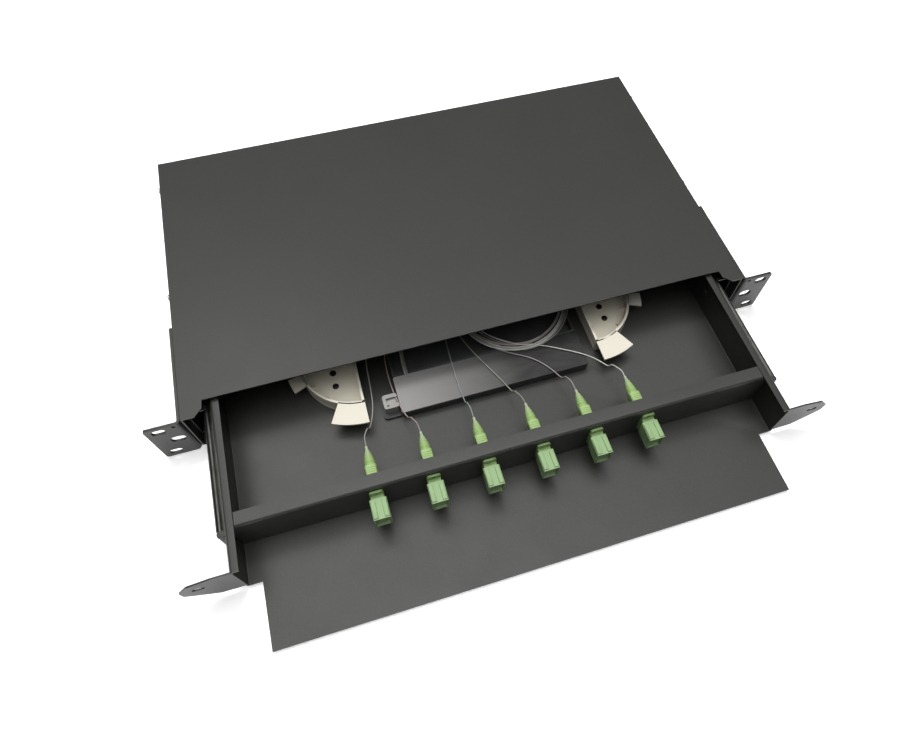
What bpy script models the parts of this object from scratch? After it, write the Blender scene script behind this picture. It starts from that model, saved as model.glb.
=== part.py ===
"""A 19-inch rack drawer that terminates optical fibre: a flat steel case with a drawer on two ball slides.

The drawer carries a row of SC/APC couplers, the pigtails behind them, a splice holder and four bend guides.
X runs across the rack, Y towards its rear and Z up. The drawer stands partly pulled out, and everything is
placed first about the rack's mounting plane (y = 0), which one empty then shifts, so that the origin is in
the middle of the model's base. Dimensions are in metres, written as millimetres times MM.
"""

from math import cos, pi, radians, sin

import bmesh
import bpy
from mathutils import Vector

MM = 0.001
GAP = 0.3 * MM

# Rack and case.
CASE_WIDTH = 432 * MM
CASE_DEPTH = 254 * MM
CASE_HEIGHT = 44 * MM
RACK_WIDTH = 482.6 * MM
SHEET = 1.2 * MM
EAR_SHEET = 2 * MM
EAR_LEG_LENGTH = 79 * MM
EAR_CORNER_RADIUS = 2 * MM
COVER_SETBACK = 12 * MM

# Drawer.
DRAWER_WIDTH = 393 * MM
DRAWER_FRONT = -112 * MM
DRAWER_REAR = 115 * MM
DRAWER_BASE = 1.8 * MM
DRAWER_TOP = 40 * MM
APRON_FRONT = -157.5 * MM
APRON_WIDTH = 372 * MM

# Couplers.
PANEL_FRONT = -83.5 * MM
PORT_COUNT = 6
PORT_PITCH = 39.7 * MM
PORT_HEIGHT = 23.5 * MM
COUPLER_BACK = -71.1 * MM
COUPLER_MOUTH = -98.5 * MM
BOOT_TIP = -46 * MM

# Slides.
SLIDE_LENGTH = 200 * MM
SLIDE_MIDDLE = 20.5 * MM
OUTER_SLIDE_FRONT = 8 * MM
INNER_SLIDE_FRONT = -85 * MM
CAGE_LENGTH = 64 * MM

# Fibre management.
GUIDE_X = 93 * MM
GUIDE_RADIUS = 42.5 * MM
GUIDE_HEIGHT = 13.4 * MM
GUIDE_WALL = 1.8 * MM
FRONT_GUIDE_Y = 35 * MM
REAR_GUIDE_Y = 52 * MM
TRAY_TOP = 12 * MM
COIL_CENTRE = (42 * MM, 51 * MM)
COIL_INNER = 39 * MM
COIL_OUTER = 50 * MM
FIBRE_DIAMETER = 0.9 * MM

# Cable glands in the rear wall.
GLAND_THREAD = 7.9 * MM
GLAND_BORE = 4.2 * MM
GLAND_HEXAGON = 21 * MM
GLAND_X = 150 * MM
GLAND_HEIGHT = 14.8 * MM
GLAND_END = 276 * MM

# The rack plane lies this far in front of the middle of the whole model.
ORIGIN_Y = (APRON_FRONT + GLAND_END) / 2

FLOOR_TOP = DRAWER_BASE + SHEET
FINE = 24
COARSE = 16


def clear_scene():
    for obj in list(bpy.data.objects):
        bpy.data.objects.remove(obj, do_unlink=True)


def make_material(name, colour, roughness, metallic=0.0):
    material = bpy.data.materials.new(name)
    material.use_nodes = True
    shader = material.node_tree.nodes["Principled BSDF"]
    shader.inputs["Base Color"].default_value = (*colour, 1.0)
    shader.inputs["Roughness"].default_value = roughness
    shader.inputs["Metallic"].default_value = metallic
    return material


def make_empty(name, location=(0, 0, 0), parent=None):
    empty = bpy.data.objects.new(name, None)
    empty.location = location
    empty.parent = parent
    bpy.context.scene.collection.objects.link(empty)
    return empty


# Outlines.


def box_outline(low, high):
    """The four corners of the rectangle from low to high, both (a, b)."""
    return [(low[0], low[1]), (high[0], low[1]), (high[0], high[1]), (low[0], high[1])]


def fillet(points, radius, closed=True, steps=4):
    """The outline with each corner rounded; an open path keeps its two ends."""
    rounded = []
    count = len(points)
    for i, corner in enumerate(points):
        here = Vector(corner)
        if not closed and i in (0, count - 1):
            rounded.append(tuple(here))
            continue
        before = Vector(points[i - 1]) - here
        after = Vector(points[(i + 1) % count]) - here
        half = before.angle(after) / 2
        reach = min(radius / abs(sin(half)) * cos(half), 0.49 * before.length, 0.49 * after.length)
        start = here + before.normalized() * reach
        end = here + after.normalized() * reach
        for step in range(steps + 1):
            t = step / steps
            rounded.append(tuple(start * (1 - t) ** 2 + here * 2 * t * (1 - t) + end * t**2))
    return rounded


def strip(path, thickness, bend):
    """The closed outline of a folded sheet that follows an open path, with rounded bends."""
    centre = [Vector(p) for p in fillet(path, bend, closed=False)]
    sides = []
    for i, point in enumerate(centre):
        back = point - centre[max(i - 1, 0)]
        ahead = centre[min(i + 1, len(centre) - 1)] - point
        normals = [Vector((-d.y, d.x)).normalized() for d in (back, ahead) if d.length > 0]
        normal = sum(normals, Vector((0, 0))).normalized()
        stretch = thickness / 2 / max(normal.dot(normals[0]), 0.5)
        sides.append((point + normal * stretch, point - normal * stretch))
    return [tuple(a) for a, _ in sides] + [tuple(b) for _, b in reversed(sides)]


def arc(centre, radius, start, end, steps):
    """Points on a circle from one angle to another, in degrees."""
    angles = [radians(start + (end - start) * i / steps) for i in range(steps + 1)]
    return [(centre[0] + radius * cos(a), centre[1] + radius * sin(a)) for a in angles]


def sector(centre, inner, outer, start, end, steps):
    """The outline of part of a flat ring."""
    return arc(centre, outer, start, end, steps) + arc(centre, inner, end, start, steps)


def mirrored(outline, first=True):
    """The outline with its first coordinate, or its second, negated."""
    return [(-a, b) if first else (a, -b) for a, b in outline]


# Solids.


def placed(axis, a, b, c):
    """The point (a, b) of an outline at height c along the axis that it is swept on."""
    return {"X": (c, a, b), "Y": (a, c, b), "Z": (a, b, c)}[axis]


def prism(outline, low, high, axis="Z"):
    """A closed outline swept from low to high along an axis."""
    bm = bmesh.new()
    rings = [[bm.verts.new(placed(axis, a, b, c)) for a, b in outline] for c in (low, high)]
    for ring in rings:
        bm.faces.new(ring)
    for i in range(len(outline)):
        bm.faces.new((rings[0][i - 1], rings[0][i], rings[1][i], rings[1][i - 1]))
    bmesh.ops.recalc_face_normals(bm, faces=bm.faces)
    return bm


def block(low, high):
    """A cuboid between two corners."""
    return prism(box_outline(low, high), low[2], high[2])


def turned(profile, axis, centre, segments=FINE):
    """A closed (radius, height) profile spun about an axis; a point of radius 0 becomes a pole."""
    bm = bmesh.new()
    rings = []
    for radius, height in profile:
        if radius == 0:
            rings.append([bm.verts.new(placed(axis, *centre, height))] * segments)
            continue
        angles = [2 * pi * i / segments for i in range(segments)]
        around = [(centre[0] + radius * cos(a), centre[1] + radius * sin(a)) for a in angles]
        rings.append([bm.verts.new(placed(axis, a, b, height)) for a, b in around])
    for k, ring in enumerate(rings):
        last = rings[k - 1]
        for i in range(segments):
            corners = list(dict.fromkeys((last[i - 1], last[i], ring[i], ring[i - 1])))
            if len(corners) > 2:
                bm.faces.new(corners)
    bmesh.ops.recalc_face_normals(bm, faces=bm.faces)
    return bm


def rod(axis, centre, radius, low, high, segments=FINE):
    return turned([(0, low), (radius, low), (radius, high), (0, high)], axis, centre, segments)


def hexagon(centre, across_flats):
    return arc(centre, across_flats / 2 / cos(pi / 6), 0, 300, 5)


def build(name, material, parent, adds, cuts=()):
    """One named object: all the solids in adds joined, and all those in cuts taken away."""
    main, *rest = [bpy.data.objects.new(name, bpy.data.meshes.new(name)) for _ in (*adds, *cuts)]
    for obj, bm in zip([main, *rest], [*adds, *cuts]):
        bm.to_mesh(obj.data)
        bm.free()
        bpy.context.scene.collection.objects.link(obj)
    for i, tool in enumerate(rest):
        modifier = main.modifiers.new("join or cut", "BOOLEAN")
        modifier.operation = "UNION" if i < len(adds) - 1 else "DIFFERENCE"
        modifier.object = tool
    bpy.context.view_layer.update()
    graph = bpy.context.evaluated_depsgraph_get()
    mesh = bpy.data.meshes.new_from_object(main.evaluated_get(graph))
    for tool in rest:
        bpy.data.objects.remove(tool, do_unlink=True)
    main.modifiers.clear()
    main.data = mesh
    main.name = name
    mesh.name = name
    mesh.materials.clear()
    mesh.materials.append(material)
    mesh.shade_smooth()
    mesh.set_sharp_from_angle(angle=radians(35))
    main.parent = parent
    return main


def smooth_route(points, spacing):
    """Evenly spaced points on a Catmull-Rom curve through the points given in millimetres."""
    knots = [Vector(p) * MM for p in points]
    knots = [2 * knots[0] - knots[1], *knots, 2 * knots[-1] - knots[-2]]
    fine = []
    for a, b, c, d in zip(knots, knots[1:], knots[2:], knots[3:]):
        for step in range(40):
            t = step / 40
            bend = 2 * a - 5 * b + 4 * c - d
            twist = 3 * b - a - 3 * c + d
            fine.append((2 * b + (c - a) * t + bend * t**2 + twist * t**3) / 2)
    fine.append(knots[-2])
    travelled = [0.0]
    for a, b in zip(fine, fine[1:]):
        travelled.append(travelled[-1] + (b - a).length)
    count = max(2, round(travelled[-1] / spacing))
    route = []
    i = 0
    for k in range(count + 1):
        target = travelled[-1] * k / count
        while i < len(fine) - 2 and travelled[i + 1] < target:
            i += 1
        share = (target - travelled[i]) / (travelled[i + 1] - travelled[i])
        route.append(fine[i].lerp(fine[i + 1], min(share, 1.0)))
    return route


def build_cord(name, material, parent, points, diameter):
    """A round cord along a smooth route."""
    curve = bpy.data.curves.new(name, "CURVE")
    curve.dimensions = "3D"
    curve.bevel_depth = diameter / 2
    curve.bevel_resolution = 2
    curve.use_fill_caps = True
    route = smooth_route(points, 2.9 * diameter)
    spline = curve.splines.new("POLY")
    spline.points.add(len(route) - 1)
    for point, place in zip(spline.points, route):
        point.co = (*place, 1)
    curve.materials.append(material)
    cord = bpy.data.objects.new(name, curve)
    cord.parent = parent
    bpy.context.scene.collection.objects.link(cord)
    return cord


# Case.

SIDES = (("left", -1), ("right", 1))
EAR_SCREW_Y = {"front": 20 * MM, "rear": 60 * MM}
COVER_SCREW_Y = {"front": 110 * MM, "rear": 225 * MM}
EAR_SCREW_Z = 22 * MM
COVER_SCREW_Z = 40 * MM
EAR_SCREW_RADIUS = 2 * MM
COVER_SCREW_RADIUS = 1.5 * MM
WALL_TOP = CASE_HEIGHT - SHEET - GAP
WALL_INSIDE = CASE_WIDTH / 2 - SHEET
FLANGE_DEPTH = 7 * MM


def side_holes(places, height, radius):
    """Round holes along X through both side walls."""
    reach = CASE_WIDTH / 2 + SHEET
    depth = 5 * MM
    return [
        rod("X", (y, height), radius, *sorted((side * reach, side * (reach - depth))), COARSE)
        for y in places.values()
        for _, side in SIDES
    ]


def build_case_body(parent, steel):
    half = CASE_WIDTH / 2
    middle = SHEET / 2
    wall = half - middle
    bend = 2.1 * MM
    hole = GLAND_THREAD + 0.4 * MM
    path = [(-wall, WALL_TOP), (-wall, middle), (wall, middle), (wall, WALL_TOP)]
    fold = strip(path, SHEET, bend)
    corners = [(-half, WALL_TOP), (-half, 0), (half, 0), (half, WALL_TOP)]
    rounded = fillet(corners, bend + middle)
    rear = [p for p in rounded if p[1] < CASE_HEIGHT / 2]
    rear = [(half, WALL_TOP), (-half, WALL_TOP), *rear]
    adds = [
        prism(fold, GAP, CASE_DEPTH, "Y"),
        prism(rear, CASE_DEPTH - SHEET, CASE_DEPTH, "Y"),
    ]
    cuts = [
        rod("Y", (side * GLAND_X, GLAND_HEIGHT), hole, CASE_DEPTH - 3 * SHEET, CASE_DEPTH + 3 * SHEET)
        for _, side in SIDES
    ]
    cuts += side_holes(EAR_SCREW_Y, EAR_SCREW_Z, EAR_SCREW_RADIUS + GAP)
    cuts += side_holes(COVER_SCREW_Y, COVER_SCREW_Z, COVER_SCREW_RADIUS + GAP)
    build("case_body", steel, parent, adds, cuts)


def build_top_cover(parent, steel):
    """The lid: two side tongues reach the rack plane, and the edge between them is set back."""
    half = CASE_WIDTH / 2
    bottom = CASE_HEIGHT - SHEET
    tip, notch = 206.5 * MM, 201 * MM
    tongue = [(half, 0), (tip, 0), (notch, tip - notch), (notch - 0.5 * MM, COVER_SETBACK)]
    outline = tongue + mirrored(reversed(tongue))
    outline += [(-half, CASE_DEPTH), (half, CASE_DEPTH)]
    adds = [prism(outline, bottom, CASE_HEIGHT)]
    flange_low = bottom - FLANGE_DEPTH + SHEET
    flange_out = WALL_INSIDE - GAP
    flange_front, flange_rear = COVER_SETBACK + 2 * MM, CASE_DEPTH - 4 * MM
    overlap = bottom + SHEET / 2
    for _, side in SIDES:
        xs = sorted((side * flange_out, side * (flange_out - SHEET)))
        adds.append(block((xs[0], flange_front, flange_low), (xs[1], flange_rear, overlap)))
    rear_half = 210 * MM
    rear_face = CASE_DEPTH - SHEET - GAP
    adds.append(block((-rear_half, rear_face - SHEET, flange_low), (rear_half, rear_face, overlap)))
    cuts = side_holes(COVER_SCREW_Y, COVER_SCREW_Z, COVER_SCREW_RADIUS + GAP)
    build("top_cover", steel, parent, adds, cuts)


def slot(centre, width, height):
    """A slot with round ends, (x, z) outline."""
    radius = height / 2 - 0.01 * MM
    half_w = width / 2
    half_h = height / 2
    low = (centre[0] - half_w, centre[1] - half_h)
    high = (centre[0] + half_w, centre[1] + half_h)
    return fillet(box_outline(low, high), radius)


def corner_waste(x, z, up, radius, spare):
    """The outline that is cut away to round the outer corner at (x, z)."""
    curve = arc((x - radius, z - up * radius), radius, 0, up * 90, 4)
    beyond = [(x - radius, z + up * spare), (x + spare, z + up * spare), (x + spare, z - up * radius)]
    return curve + beyond


def build_rack_ears(parent, steel):
    """Angle brackets: the front leg carries the standard rack slots, the side leg lies on the case."""
    low = GAP
    high = CASE_HEIGHT - GAP
    outer = RACK_WIDTH / 2
    leg = CASE_WIDTH / 2 + GAP + EAR_SHEET / 2
    slots = [
        slot((232.6 * MM, 37.9 * MM), 9.5 * MM, 6.4 * MM),
        slot((232.6 * MM, 6.1 * MM), 9.5 * MM, 6.4 * MM),
        slot((224.6 * MM, 23 * MM), 10.4 * MM, 7.6 * MM),
        slot((221.5 * MM, 41 * MM), 2.6 * MM, 2.4 * MM),
    ]
    spare = 1 * MM
    for name, side in SIDES:
        path = [(outer, -EAR_SHEET / 2), (leg, -EAR_SHEET / 2), (leg, EAR_LEG_LENGTH)]
        fold = strip(path, EAR_SHEET, 2.5 * MM)
        if side < 0:
            fold = mirrored(fold)
        cuts = []
        for outline in slots:
            outline = outline if side > 0 else mirrored(outline)
            cuts.append(prism(outline, -EAR_SHEET - spare, spare, "Y"))
        for z, up in ((low, -1), (high, 1)):
            waste = corner_waste(outer, z, up, EAR_CORNER_RADIUS, spare)
            waste = waste if side > 0 else mirrored(waste)
            cuts.append(prism(waste, -EAR_SHEET - spare, spare, "Y"))
        reach = CASE_WIDTH / 2 + EAR_SHEET + spare
        for y in EAR_SCREW_Y.values():
            ends = sorted((side * reach, side * (reach - 2 * EAR_SHEET)))
            cuts.append(rod("X", (y, EAR_SCREW_Z), EAR_SCREW_RADIUS + GAP, *ends, COARSE))
        build(f"rack_ear_{name}", steel, parent, [prism(fold, low, high)], cuts)


def build_screw(name, steel, parent, place, seat, tip, radius):
    """A pan-head screw along X: seat is the face its head lies on, tip is the shank's end."""
    side = 1 if seat > 0 else -1
    head_radius, crown_radius = 1.9 * radius, 1.4 * radius
    crown = seat + side * 1.1 * radius
    rim = seat + 0.6 * (crown - seat)
    profile = [(0, tip), (radius, tip), (radius, seat), (head_radius, seat), (head_radius, rim)]
    profile += [(crown_radius, crown), (0, crown)]
    build(name, steel, parent, [turned(profile, "X", place, COARSE)])


def build_case_screws(parent, steel):
    leg_face = CASE_WIDTH / 2 + GAP + EAR_SHEET + GAP
    wall_face = CASE_WIDTH / 2 + GAP
    for name, side in SIDES:
        for end, y in EAR_SCREW_Y.items():
            place = (y, EAR_SCREW_Z)
            ends = (side * leg_face, side * (WALL_INSIDE + GAP))
            build_screw(f"ear_screw_{name}_{end}", steel, parent, place, *ends, EAR_SCREW_RADIUS)
        for end, y in COVER_SCREW_Y.items():
            place = (y, COVER_SCREW_Z)
            ends = (side * wall_face, side * (WALL_INSIDE - GAP - SHEET))
            build_screw(
                f"cover_screw_{name}_{end}", steel, parent, place, *ends, COVER_SCREW_RADIUS
            )


def build_glands(parent, plastic):
    """Cable glands: a threaded body through the rear wall, a lock nut inside and a dome nut outside."""
    collar = 6.6 * MM
    outside = CASE_DEPTH + GAP
    shoulder = outside + 5.2 * MM
    inner_end = CASE_DEPTH - 11 * MM
    collar_end = shoulder + 9 * MM
    nut_face = CASE_DEPTH - SHEET - GAP
    nut_back = nut_face - 5 * MM
    cap_start = shoulder + GAP
    spare = 1 * MM
    for name, side in SIDES:
        centre = (side * GLAND_X, GLAND_HEIGHT)
        body = [
            rod("Y", centre, GLAND_THREAD, inner_end, outside + spare),
            prism(hexagon(centre, GLAND_HEXAGON), outside, shoulder, "Y"),
            rod("Y", centre, collar, shoulder - spare, collar_end),
        ]
        hole = rod("Y", centre, GLAND_BORE, inner_end - spare, collar_end + spare)
        build(f"gland_body_{name}", plastic, parent, body, [hole])
        nut = prism(hexagon(centre, GLAND_HEXAGON), nut_back, nut_face, "Y")
        nut_hole = rod("Y", centre, GLAND_THREAD + GAP, nut_back - spare, nut_face + spare)
        build(f"gland_locknut_{name}", plastic, parent, [nut], [nut_hole])
        cavity = collar + GAP
        inner_face = collar_end + GAP
        dome = [(5.6 * MM, GLAND_END), (7.6 * MM, GLAND_END - 2 * MM), (8.6 * MM, GLAND_END - 6 * MM)]
        profile = [(cavity, cap_start), (cavity, inner_face), (GLAND_BORE, inner_face)]
        profile += [(GLAND_BORE, GLAND_END), *dome, (dome[-1][0], cap_start)]
        build(f"gland_cap_{name}", plastic, parent, [turned(profile, "Y", centre)])


# Slides.

OUTER_SLIDE_HALF = 15.4 * MM
INNER_SLIDE_HALF = 11.4 * MM
BALL_RADIUS = 1.1 * MM
BALLS_PER_RACE = 5


def channel(root, tip, half, thickness, side):
    """The (x, z) outline of a C-shaped rail: web at root, flanges reaching to tip."""
    low = SLIDE_MIDDLE - half
    high = SLIDE_MIDDLE + half
    path = [(tip, high), (root, high), (root, low), (tip, low)]
    return strip([(side * x, z) for x, z in path], thickness, 1.2 * MM)


def build_slides(case, drawer, cages, zinc, cage_steel):
    web_out = WALL_INSIDE - GAP - SHEET / 2
    web_in = DRAWER_WIDTH / 2 + GAP + SHEET / 2
    cage_sheet = 0.8 * MM
    cage_web = 204.8 * MM
    cage_tip = 198.6 * MM
    outer_tip, inner_tip = 200.6 * MM, 203 * MM
    ball_x = 201 * MM
    race = (OUTER_SLIDE_HALF + INNER_SLIDE_HALF) / 2
    overlap_middle = (OUTER_SLIDE_FRONT + INNER_SLIDE_FRONT + SLIDE_LENGTH) / 2
    cage_front = overlap_middle - CAGE_LENGTH / 2
    ball_step = CAGE_LENGTH / BALLS_PER_RACE
    for name, side in SIDES:
        outer = channel(web_out, outer_tip, OUTER_SLIDE_HALF, SHEET, side)
        inner = channel(web_in, inner_tip, INNER_SLIDE_HALF, SHEET, side)
        fixed = prism(outer, OUTER_SLIDE_FRONT, OUTER_SLIDE_FRONT + SLIDE_LENGTH, "Y")
        moving = prism(inner, INNER_SLIDE_FRONT, INNER_SLIDE_FRONT + SLIDE_LENGTH, "Y")
        build(f"slide_outer_{name}", zinc, case, [fixed])
        build(f"slide_inner_{name}", zinc, drawer, [moving])
        cage = channel(cage_web, cage_tip, race, cage_sheet, side)
        adds = [prism(cage, cage_front, cage_front + CAGE_LENGTH, "Y")]
        for i in range(BALLS_PER_RACE):
            y = cage_front + (i + 0.5) * ball_step
            for z in (SLIDE_MIDDLE - race, SLIDE_MIDDLE + race):
                adds.append(ball((side * ball_x, y, z), BALL_RADIUS))
        build(f"ball_cage_{name}", cage_steel, cages[name], adds)


def ball(centre, radius):
    """A small sphere, spun about X so that its ring of widest points touches both races."""
    steps = 4
    profile = []
    for i in range(steps + 1):
        angle = pi * i / steps
        width = 0 if i in (0, steps) else radius * sin(angle)
        profile.append((width, centre[0] - radius * cos(angle)))
    return turned(profile, "X", centre[1:], 6)


# Drawer.


def build_drawer_tray(parent, steel):
    """Floor, lipped walls, a narrower apron in front, locking ears and a notched rear wall."""
    middle = SHEET / 2
    wall = DRAWER_WIDTH / 2 - middle
    lip_tip = DRAWER_WIDTH / 2 - 6 * MM
    top = DRAWER_TOP - middle
    floor = DRAWER_BASE + middle
    half = [(lip_tip, top), (wall, top), (wall, floor)]
    fold = strip(half + mirrored(reversed(half)), SHEET, 1.6 * MM)
    apron_half = APRON_WIDTH / 2
    apron = [(-apron_half, DRAWER_FRONT + 1 * MM), (-apron_half, APRON_FRONT)]
    apron += mirrored(reversed(apron))
    ear = [(195.3, 5), (212, 5), (225, 14.5), (231, 19.5), (231, 28), (224, 36), (208, 39), (195.3, 39)]
    ear = [(x * MM, z * MM) for x, z in ear]
    ear = ear[:1] + fillet(ear, 2.5 * MM)[5:-5] + ear[-1:]
    rear_top, notch_low = 30 * MM, 12 * MM
    notch_out, notch_in = 165 * MM, 125 * MM
    rear_half = [(wall, floor), (wall, rear_top), (notch_out, rear_top), (notch_out, notch_low)]
    rear_half += [(notch_in, notch_low), (notch_in, rear_top)]
    adds = [
        prism(fold, DRAWER_FRONT, DRAWER_REAR, "Y"),
        prism(apron, DRAWER_BASE, FLOOR_TOP),
        prism(rear_half + mirrored(reversed(rear_half)), DRAWER_REAR - SHEET, DRAWER_REAR, "Y"),
    ]
    cuts = []
    hole = slot((219.5 * MM, 26.5 * MM), 8 * MM, 4.2 * MM)
    for _, side in SIDES:
        plate = ear if side > 0 else mirrored(ear)
        opening = hole if side > 0 else mirrored(hole)
        adds.append(prism(plate, DRAWER_FRONT, DRAWER_FRONT + SHEET, "Y"))
        cuts.append(prism(opening, DRAWER_FRONT - SHEET, DRAWER_FRONT + 2 * SHEET, "Y"))
    build("drawer_tray", steel, parent, adds, cuts)


PORTS = range(1, PORT_COUNT + 1)
COUPLER_HALF = (4.65 * MM, 6.4 * MM)
FLANGE_HALF = (4.8 * MM, 11 * MM)
PORT_HALF = (3.8 * MM, 4.6 * MM)
CAP_HALF = (5.9 * MM, 7.2 * MM)
GRIP_HALF = (4.3 * MM, 4.9 * MM)


def port_x(number):
    return (number - (PORT_COUNT + 1) / 2) * PORT_PITCH


def port_block(number, half, front, back):
    """A cuboid centred on a port's axis."""
    x = port_x(number)
    low = (x - half[0], front, PORT_HEIGHT - half[1])
    high = (x + half[0], back, PORT_HEIGHT + half[1])
    return block(low, high)


def grown(half, by):
    return (half[0] + by, half[1] + by)


def build_adapter_panel(parent, steel):
    """A plate folded back at its top and foot, with a cut-out for each coupler."""
    middle = SHEET / 2
    plane = PANEL_FRONT + middle
    back = PANEL_FRONT + 10 * MM
    top = DRAWER_TOP - middle
    foot = FLOOR_TOP + GAP + middle
    bend = 1.6 * MM
    fold = strip([(back, top), (plane, top), (plane, foot), (back, foot)], SHEET, bend)
    inside_lips = DRAWER_WIDTH / 2 - 6.5 * MM
    inside_walls = DRAWER_WIDTH / 2 - SHEET - GAP
    adds = [prism(fold, -inside_lips, inside_lips, "X")]
    low, high = foot, DRAWER_TOP - middle - 1.9 * MM
    for _, side in SIDES:
        xs = sorted((side * (inside_lips - 1 * MM), side * inside_walls))
        adds.append(block((xs[0], PANEL_FRONT, low), (xs[1], PANEL_FRONT + SHEET, high)))
    cuts = []
    for number in PORTS:
        half = grown(COUPLER_HALF, GAP)
        cuts.append(port_block(number, half, PANEL_FRONT - 1 * MM, PANEL_FRONT + 3 * MM))
    build("adapter_panel", steel, parent, adds, cuts)


def build_couplers(drawer, cap_bodies, green, plug_green, pale):
    flange_front = PANEL_FRONT - GAP - 1.5 * MM
    flange_back = PANEL_FRONT - GAP
    divider = (-86.5 * MM, -83 * MM)
    cap_front = -102.5 * MM
    cap_rim = -88 * MM
    for number in PORTS:
        adds = [
            port_block(number, COUPLER_HALF, COUPLER_MOUTH, COUPLER_BACK),
            port_block(number, FLANGE_HALF, flange_front, flange_back),
        ]
        cuts = [
            port_block(number, PORT_HALF, COUPLER_MOUTH - 1 * MM, divider[0]),
            port_block(number, PORT_HALF, divider[1], COUPLER_BACK + 1 * MM),
        ]
        build(f"adapter_{number}", green, drawer, adds, cuts)
        shell = port_block(number, CAP_HALF, cap_front, cap_rim)
        hollow = port_block(
            number, grown(COUPLER_HALF, GAP), COUPLER_MOUTH - 1 * MM, cap_rim + 1 * MM
        )
        build(f"cap_{number}", pale, cap_bodies[number], [shell], [hollow])
        build_plug(number, drawer, plug_green)


def build_plug(number, parent, green):
    """A pigtail's connector: the nose in the coupler, its grip, and the tapered boot behind."""
    grip_front = COUPLER_BACK + 0.4 * MM
    grip_back = -62 * MM
    nose_front = -82.7 * MM
    nose = port_block(number, grown(PORT_HALF, -GAP), nose_front, grip_front + 1 * MM)
    grip = port_block(number, GRIP_HALF, grip_front, grip_back)
    profile = [(0, grip_back - 1 * MM), (3.4 * MM, grip_back - 1 * MM), (3.2 * MM, -58 * MM)]
    profile += [(2.2 * MM, -50 * MM), (1.2 * MM, BOOT_TIP), (0, BOOT_TIP)]
    boot = turned(profile, "Y", (port_x(number), PORT_HEIGHT), COARSE)
    build(f"plug_{number}", green, parent, [grip, nose, boot])


# Fibre management.


def build_guide(name, material, parent, side, along, centre_y):
    """A quarter-round bend guide: base, curved wall, straight wall and two retaining tabs.

    side is the sign of X that it bulges to, and along the sign of Y.
    """
    base_low = FLOOR_TOP + GAP
    base_high = base_low + 1.7 * MM
    top = base_low + GUIDE_HEIGHT
    tab_low = top - 1.5 * MM
    wall = GUIDE_WALL
    radius = GUIDE_RADIUS
    end_tab, side_tab = 59.5 * MM, 52.5 * MM
    quarter = [(0, 0), *arc((0, 0), radius, 0, 90, 12)]
    shapes = [
        (quarter, base_low, base_high),
        (sector((0, 0), radius - wall, radius, 0, 90, 12), base_low, top),
        (box_outline((0, 0), (wall, radius - 0.4 * wall)), base_low, top),
        (sector((0, 0), radius - wall / 2, end_tab, 63, 90, 5), tab_low, top),
        (sector((0, 0), radius - wall / 2, side_tab, 9, 23, 3), tab_low, top),
    ]
    hole_radius = 1.8 * MM
    holes = [(19.1 * MM, 17 * MM), (19.1 * MM, 5 * MM)]
    adds = [prism(stand(outline, side, along, centre_y), low, high) for outline, low, high in shapes]
    cuts = []
    for x, y in holes:
        place = (side * (GUIDE_X + x), centre_y + along * y)
        cuts.append(rod("Z", place, hole_radius, base_low - 1 * MM, base_high + 1 * MM, COARSE))
    build(name, material, parent, adds, cuts)


def stand(outline, side, along, centre_y):
    """An outline drawn about a guide's inner corner, turned to face its own way."""
    return [(side * (GUIDE_X + x), centre_y + along * y) for x, y in outline]


def build_guides(parent, cream):
    for name, side in SIDES:
        build_guide(f"fibre_guide_front_{name}", cream, parent, side, -1, FRONT_GUIDE_Y)
        build_guide(f"fibre_guide_rear_{name}", cream, parent, side, 1, REAR_GUIDE_Y)


def build_splice_tray(parent, dark, grey, white, rubber):
    """A flat tray: a lidded strip for the splices in front, an open storage well behind."""
    left, right = -68.5 * MM, 82 * MM
    front, rib, back = -22 * MM, 9.6 * MM, 78 * MM
    wall = 1.8 * MM
    low = FLOOR_TOP + GAP
    floor = low + 1.5 * MM
    strip_top = TRAY_TOP - 2 * MM
    lug_end, lug_front, lug_back = left - 13.5 * MM, front + 1.5 * MM, front + 19.5 * MM
    lug_top = low + 2 * MM
    slot_left, slot_right = -60 * MM, -54 * MM
    far = 2 * MM
    inside = (left + wall, right - wall)
    adds = [
        block((left, front, low), (right, back, TRAY_TOP)),
        block((lug_end, lug_front, low), (left + wall / 2, lug_back, lug_top)),
    ]
    cuts = [
        block((left - far, front - far, strip_top), (right + far, rib, TRAY_TOP + far)),
        block((inside[0], rib + wall, floor), (inside[1], back - wall, TRAY_TOP + far)),
        block((inside[0], front + wall, floor), (inside[1], rib - wall, TRAY_TOP)),
        block((slot_left, rib - 2 * wall, floor), (slot_right, rib + 2 * wall, TRAY_TOP + far)),
    ]
    build("splice_tray", dark, parent, adds, cuts)
    lid = fillet(box_outline((left, front), (right, rib - GAP)), 1.5 * MM, steps=3)
    build("splice_cover", grey, parent, [prism(lid, strip_top + GAP, TRAY_TOP)])
    clip_left, clip_right = left - 11.7 * MM, left - 0.5 * MM
    clip = fillet(box_outline((clip_left, -16.5 * MM), (clip_right, -4.5 * MM)), 2 * MM)
    build("splice_clip", white, parent, [prism(clip, lug_top + GAP, TRAY_TOP + 1.2 * MM)])
    build_splice_comb(parent, rubber, floor + GAP, strip_top - 0.7 * MM)


def build_splice_comb(parent, rubber, low, high):
    """Soft strip with one groove for each splice sleeve, lying along X."""
    front, groove, tooth = -19.9 * MM, 3 * MM, 1.3 * MM
    bed = low + 1.2 * MM
    left, right = -38 * MM, 22 * MM
    outline = [(front, low)]
    y = front
    for _ in range(PORT_COUNT):
        outline += [(y, high), (y + tooth, high), (y + tooth, bed), (y + tooth + groove, bed)]
        y += tooth + groove
    outline += [(y, high), (y + tooth, high), (y + tooth, low)]
    build("splice_comb", rubber, parent, [prism(outline, left, right, "X")])


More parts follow.
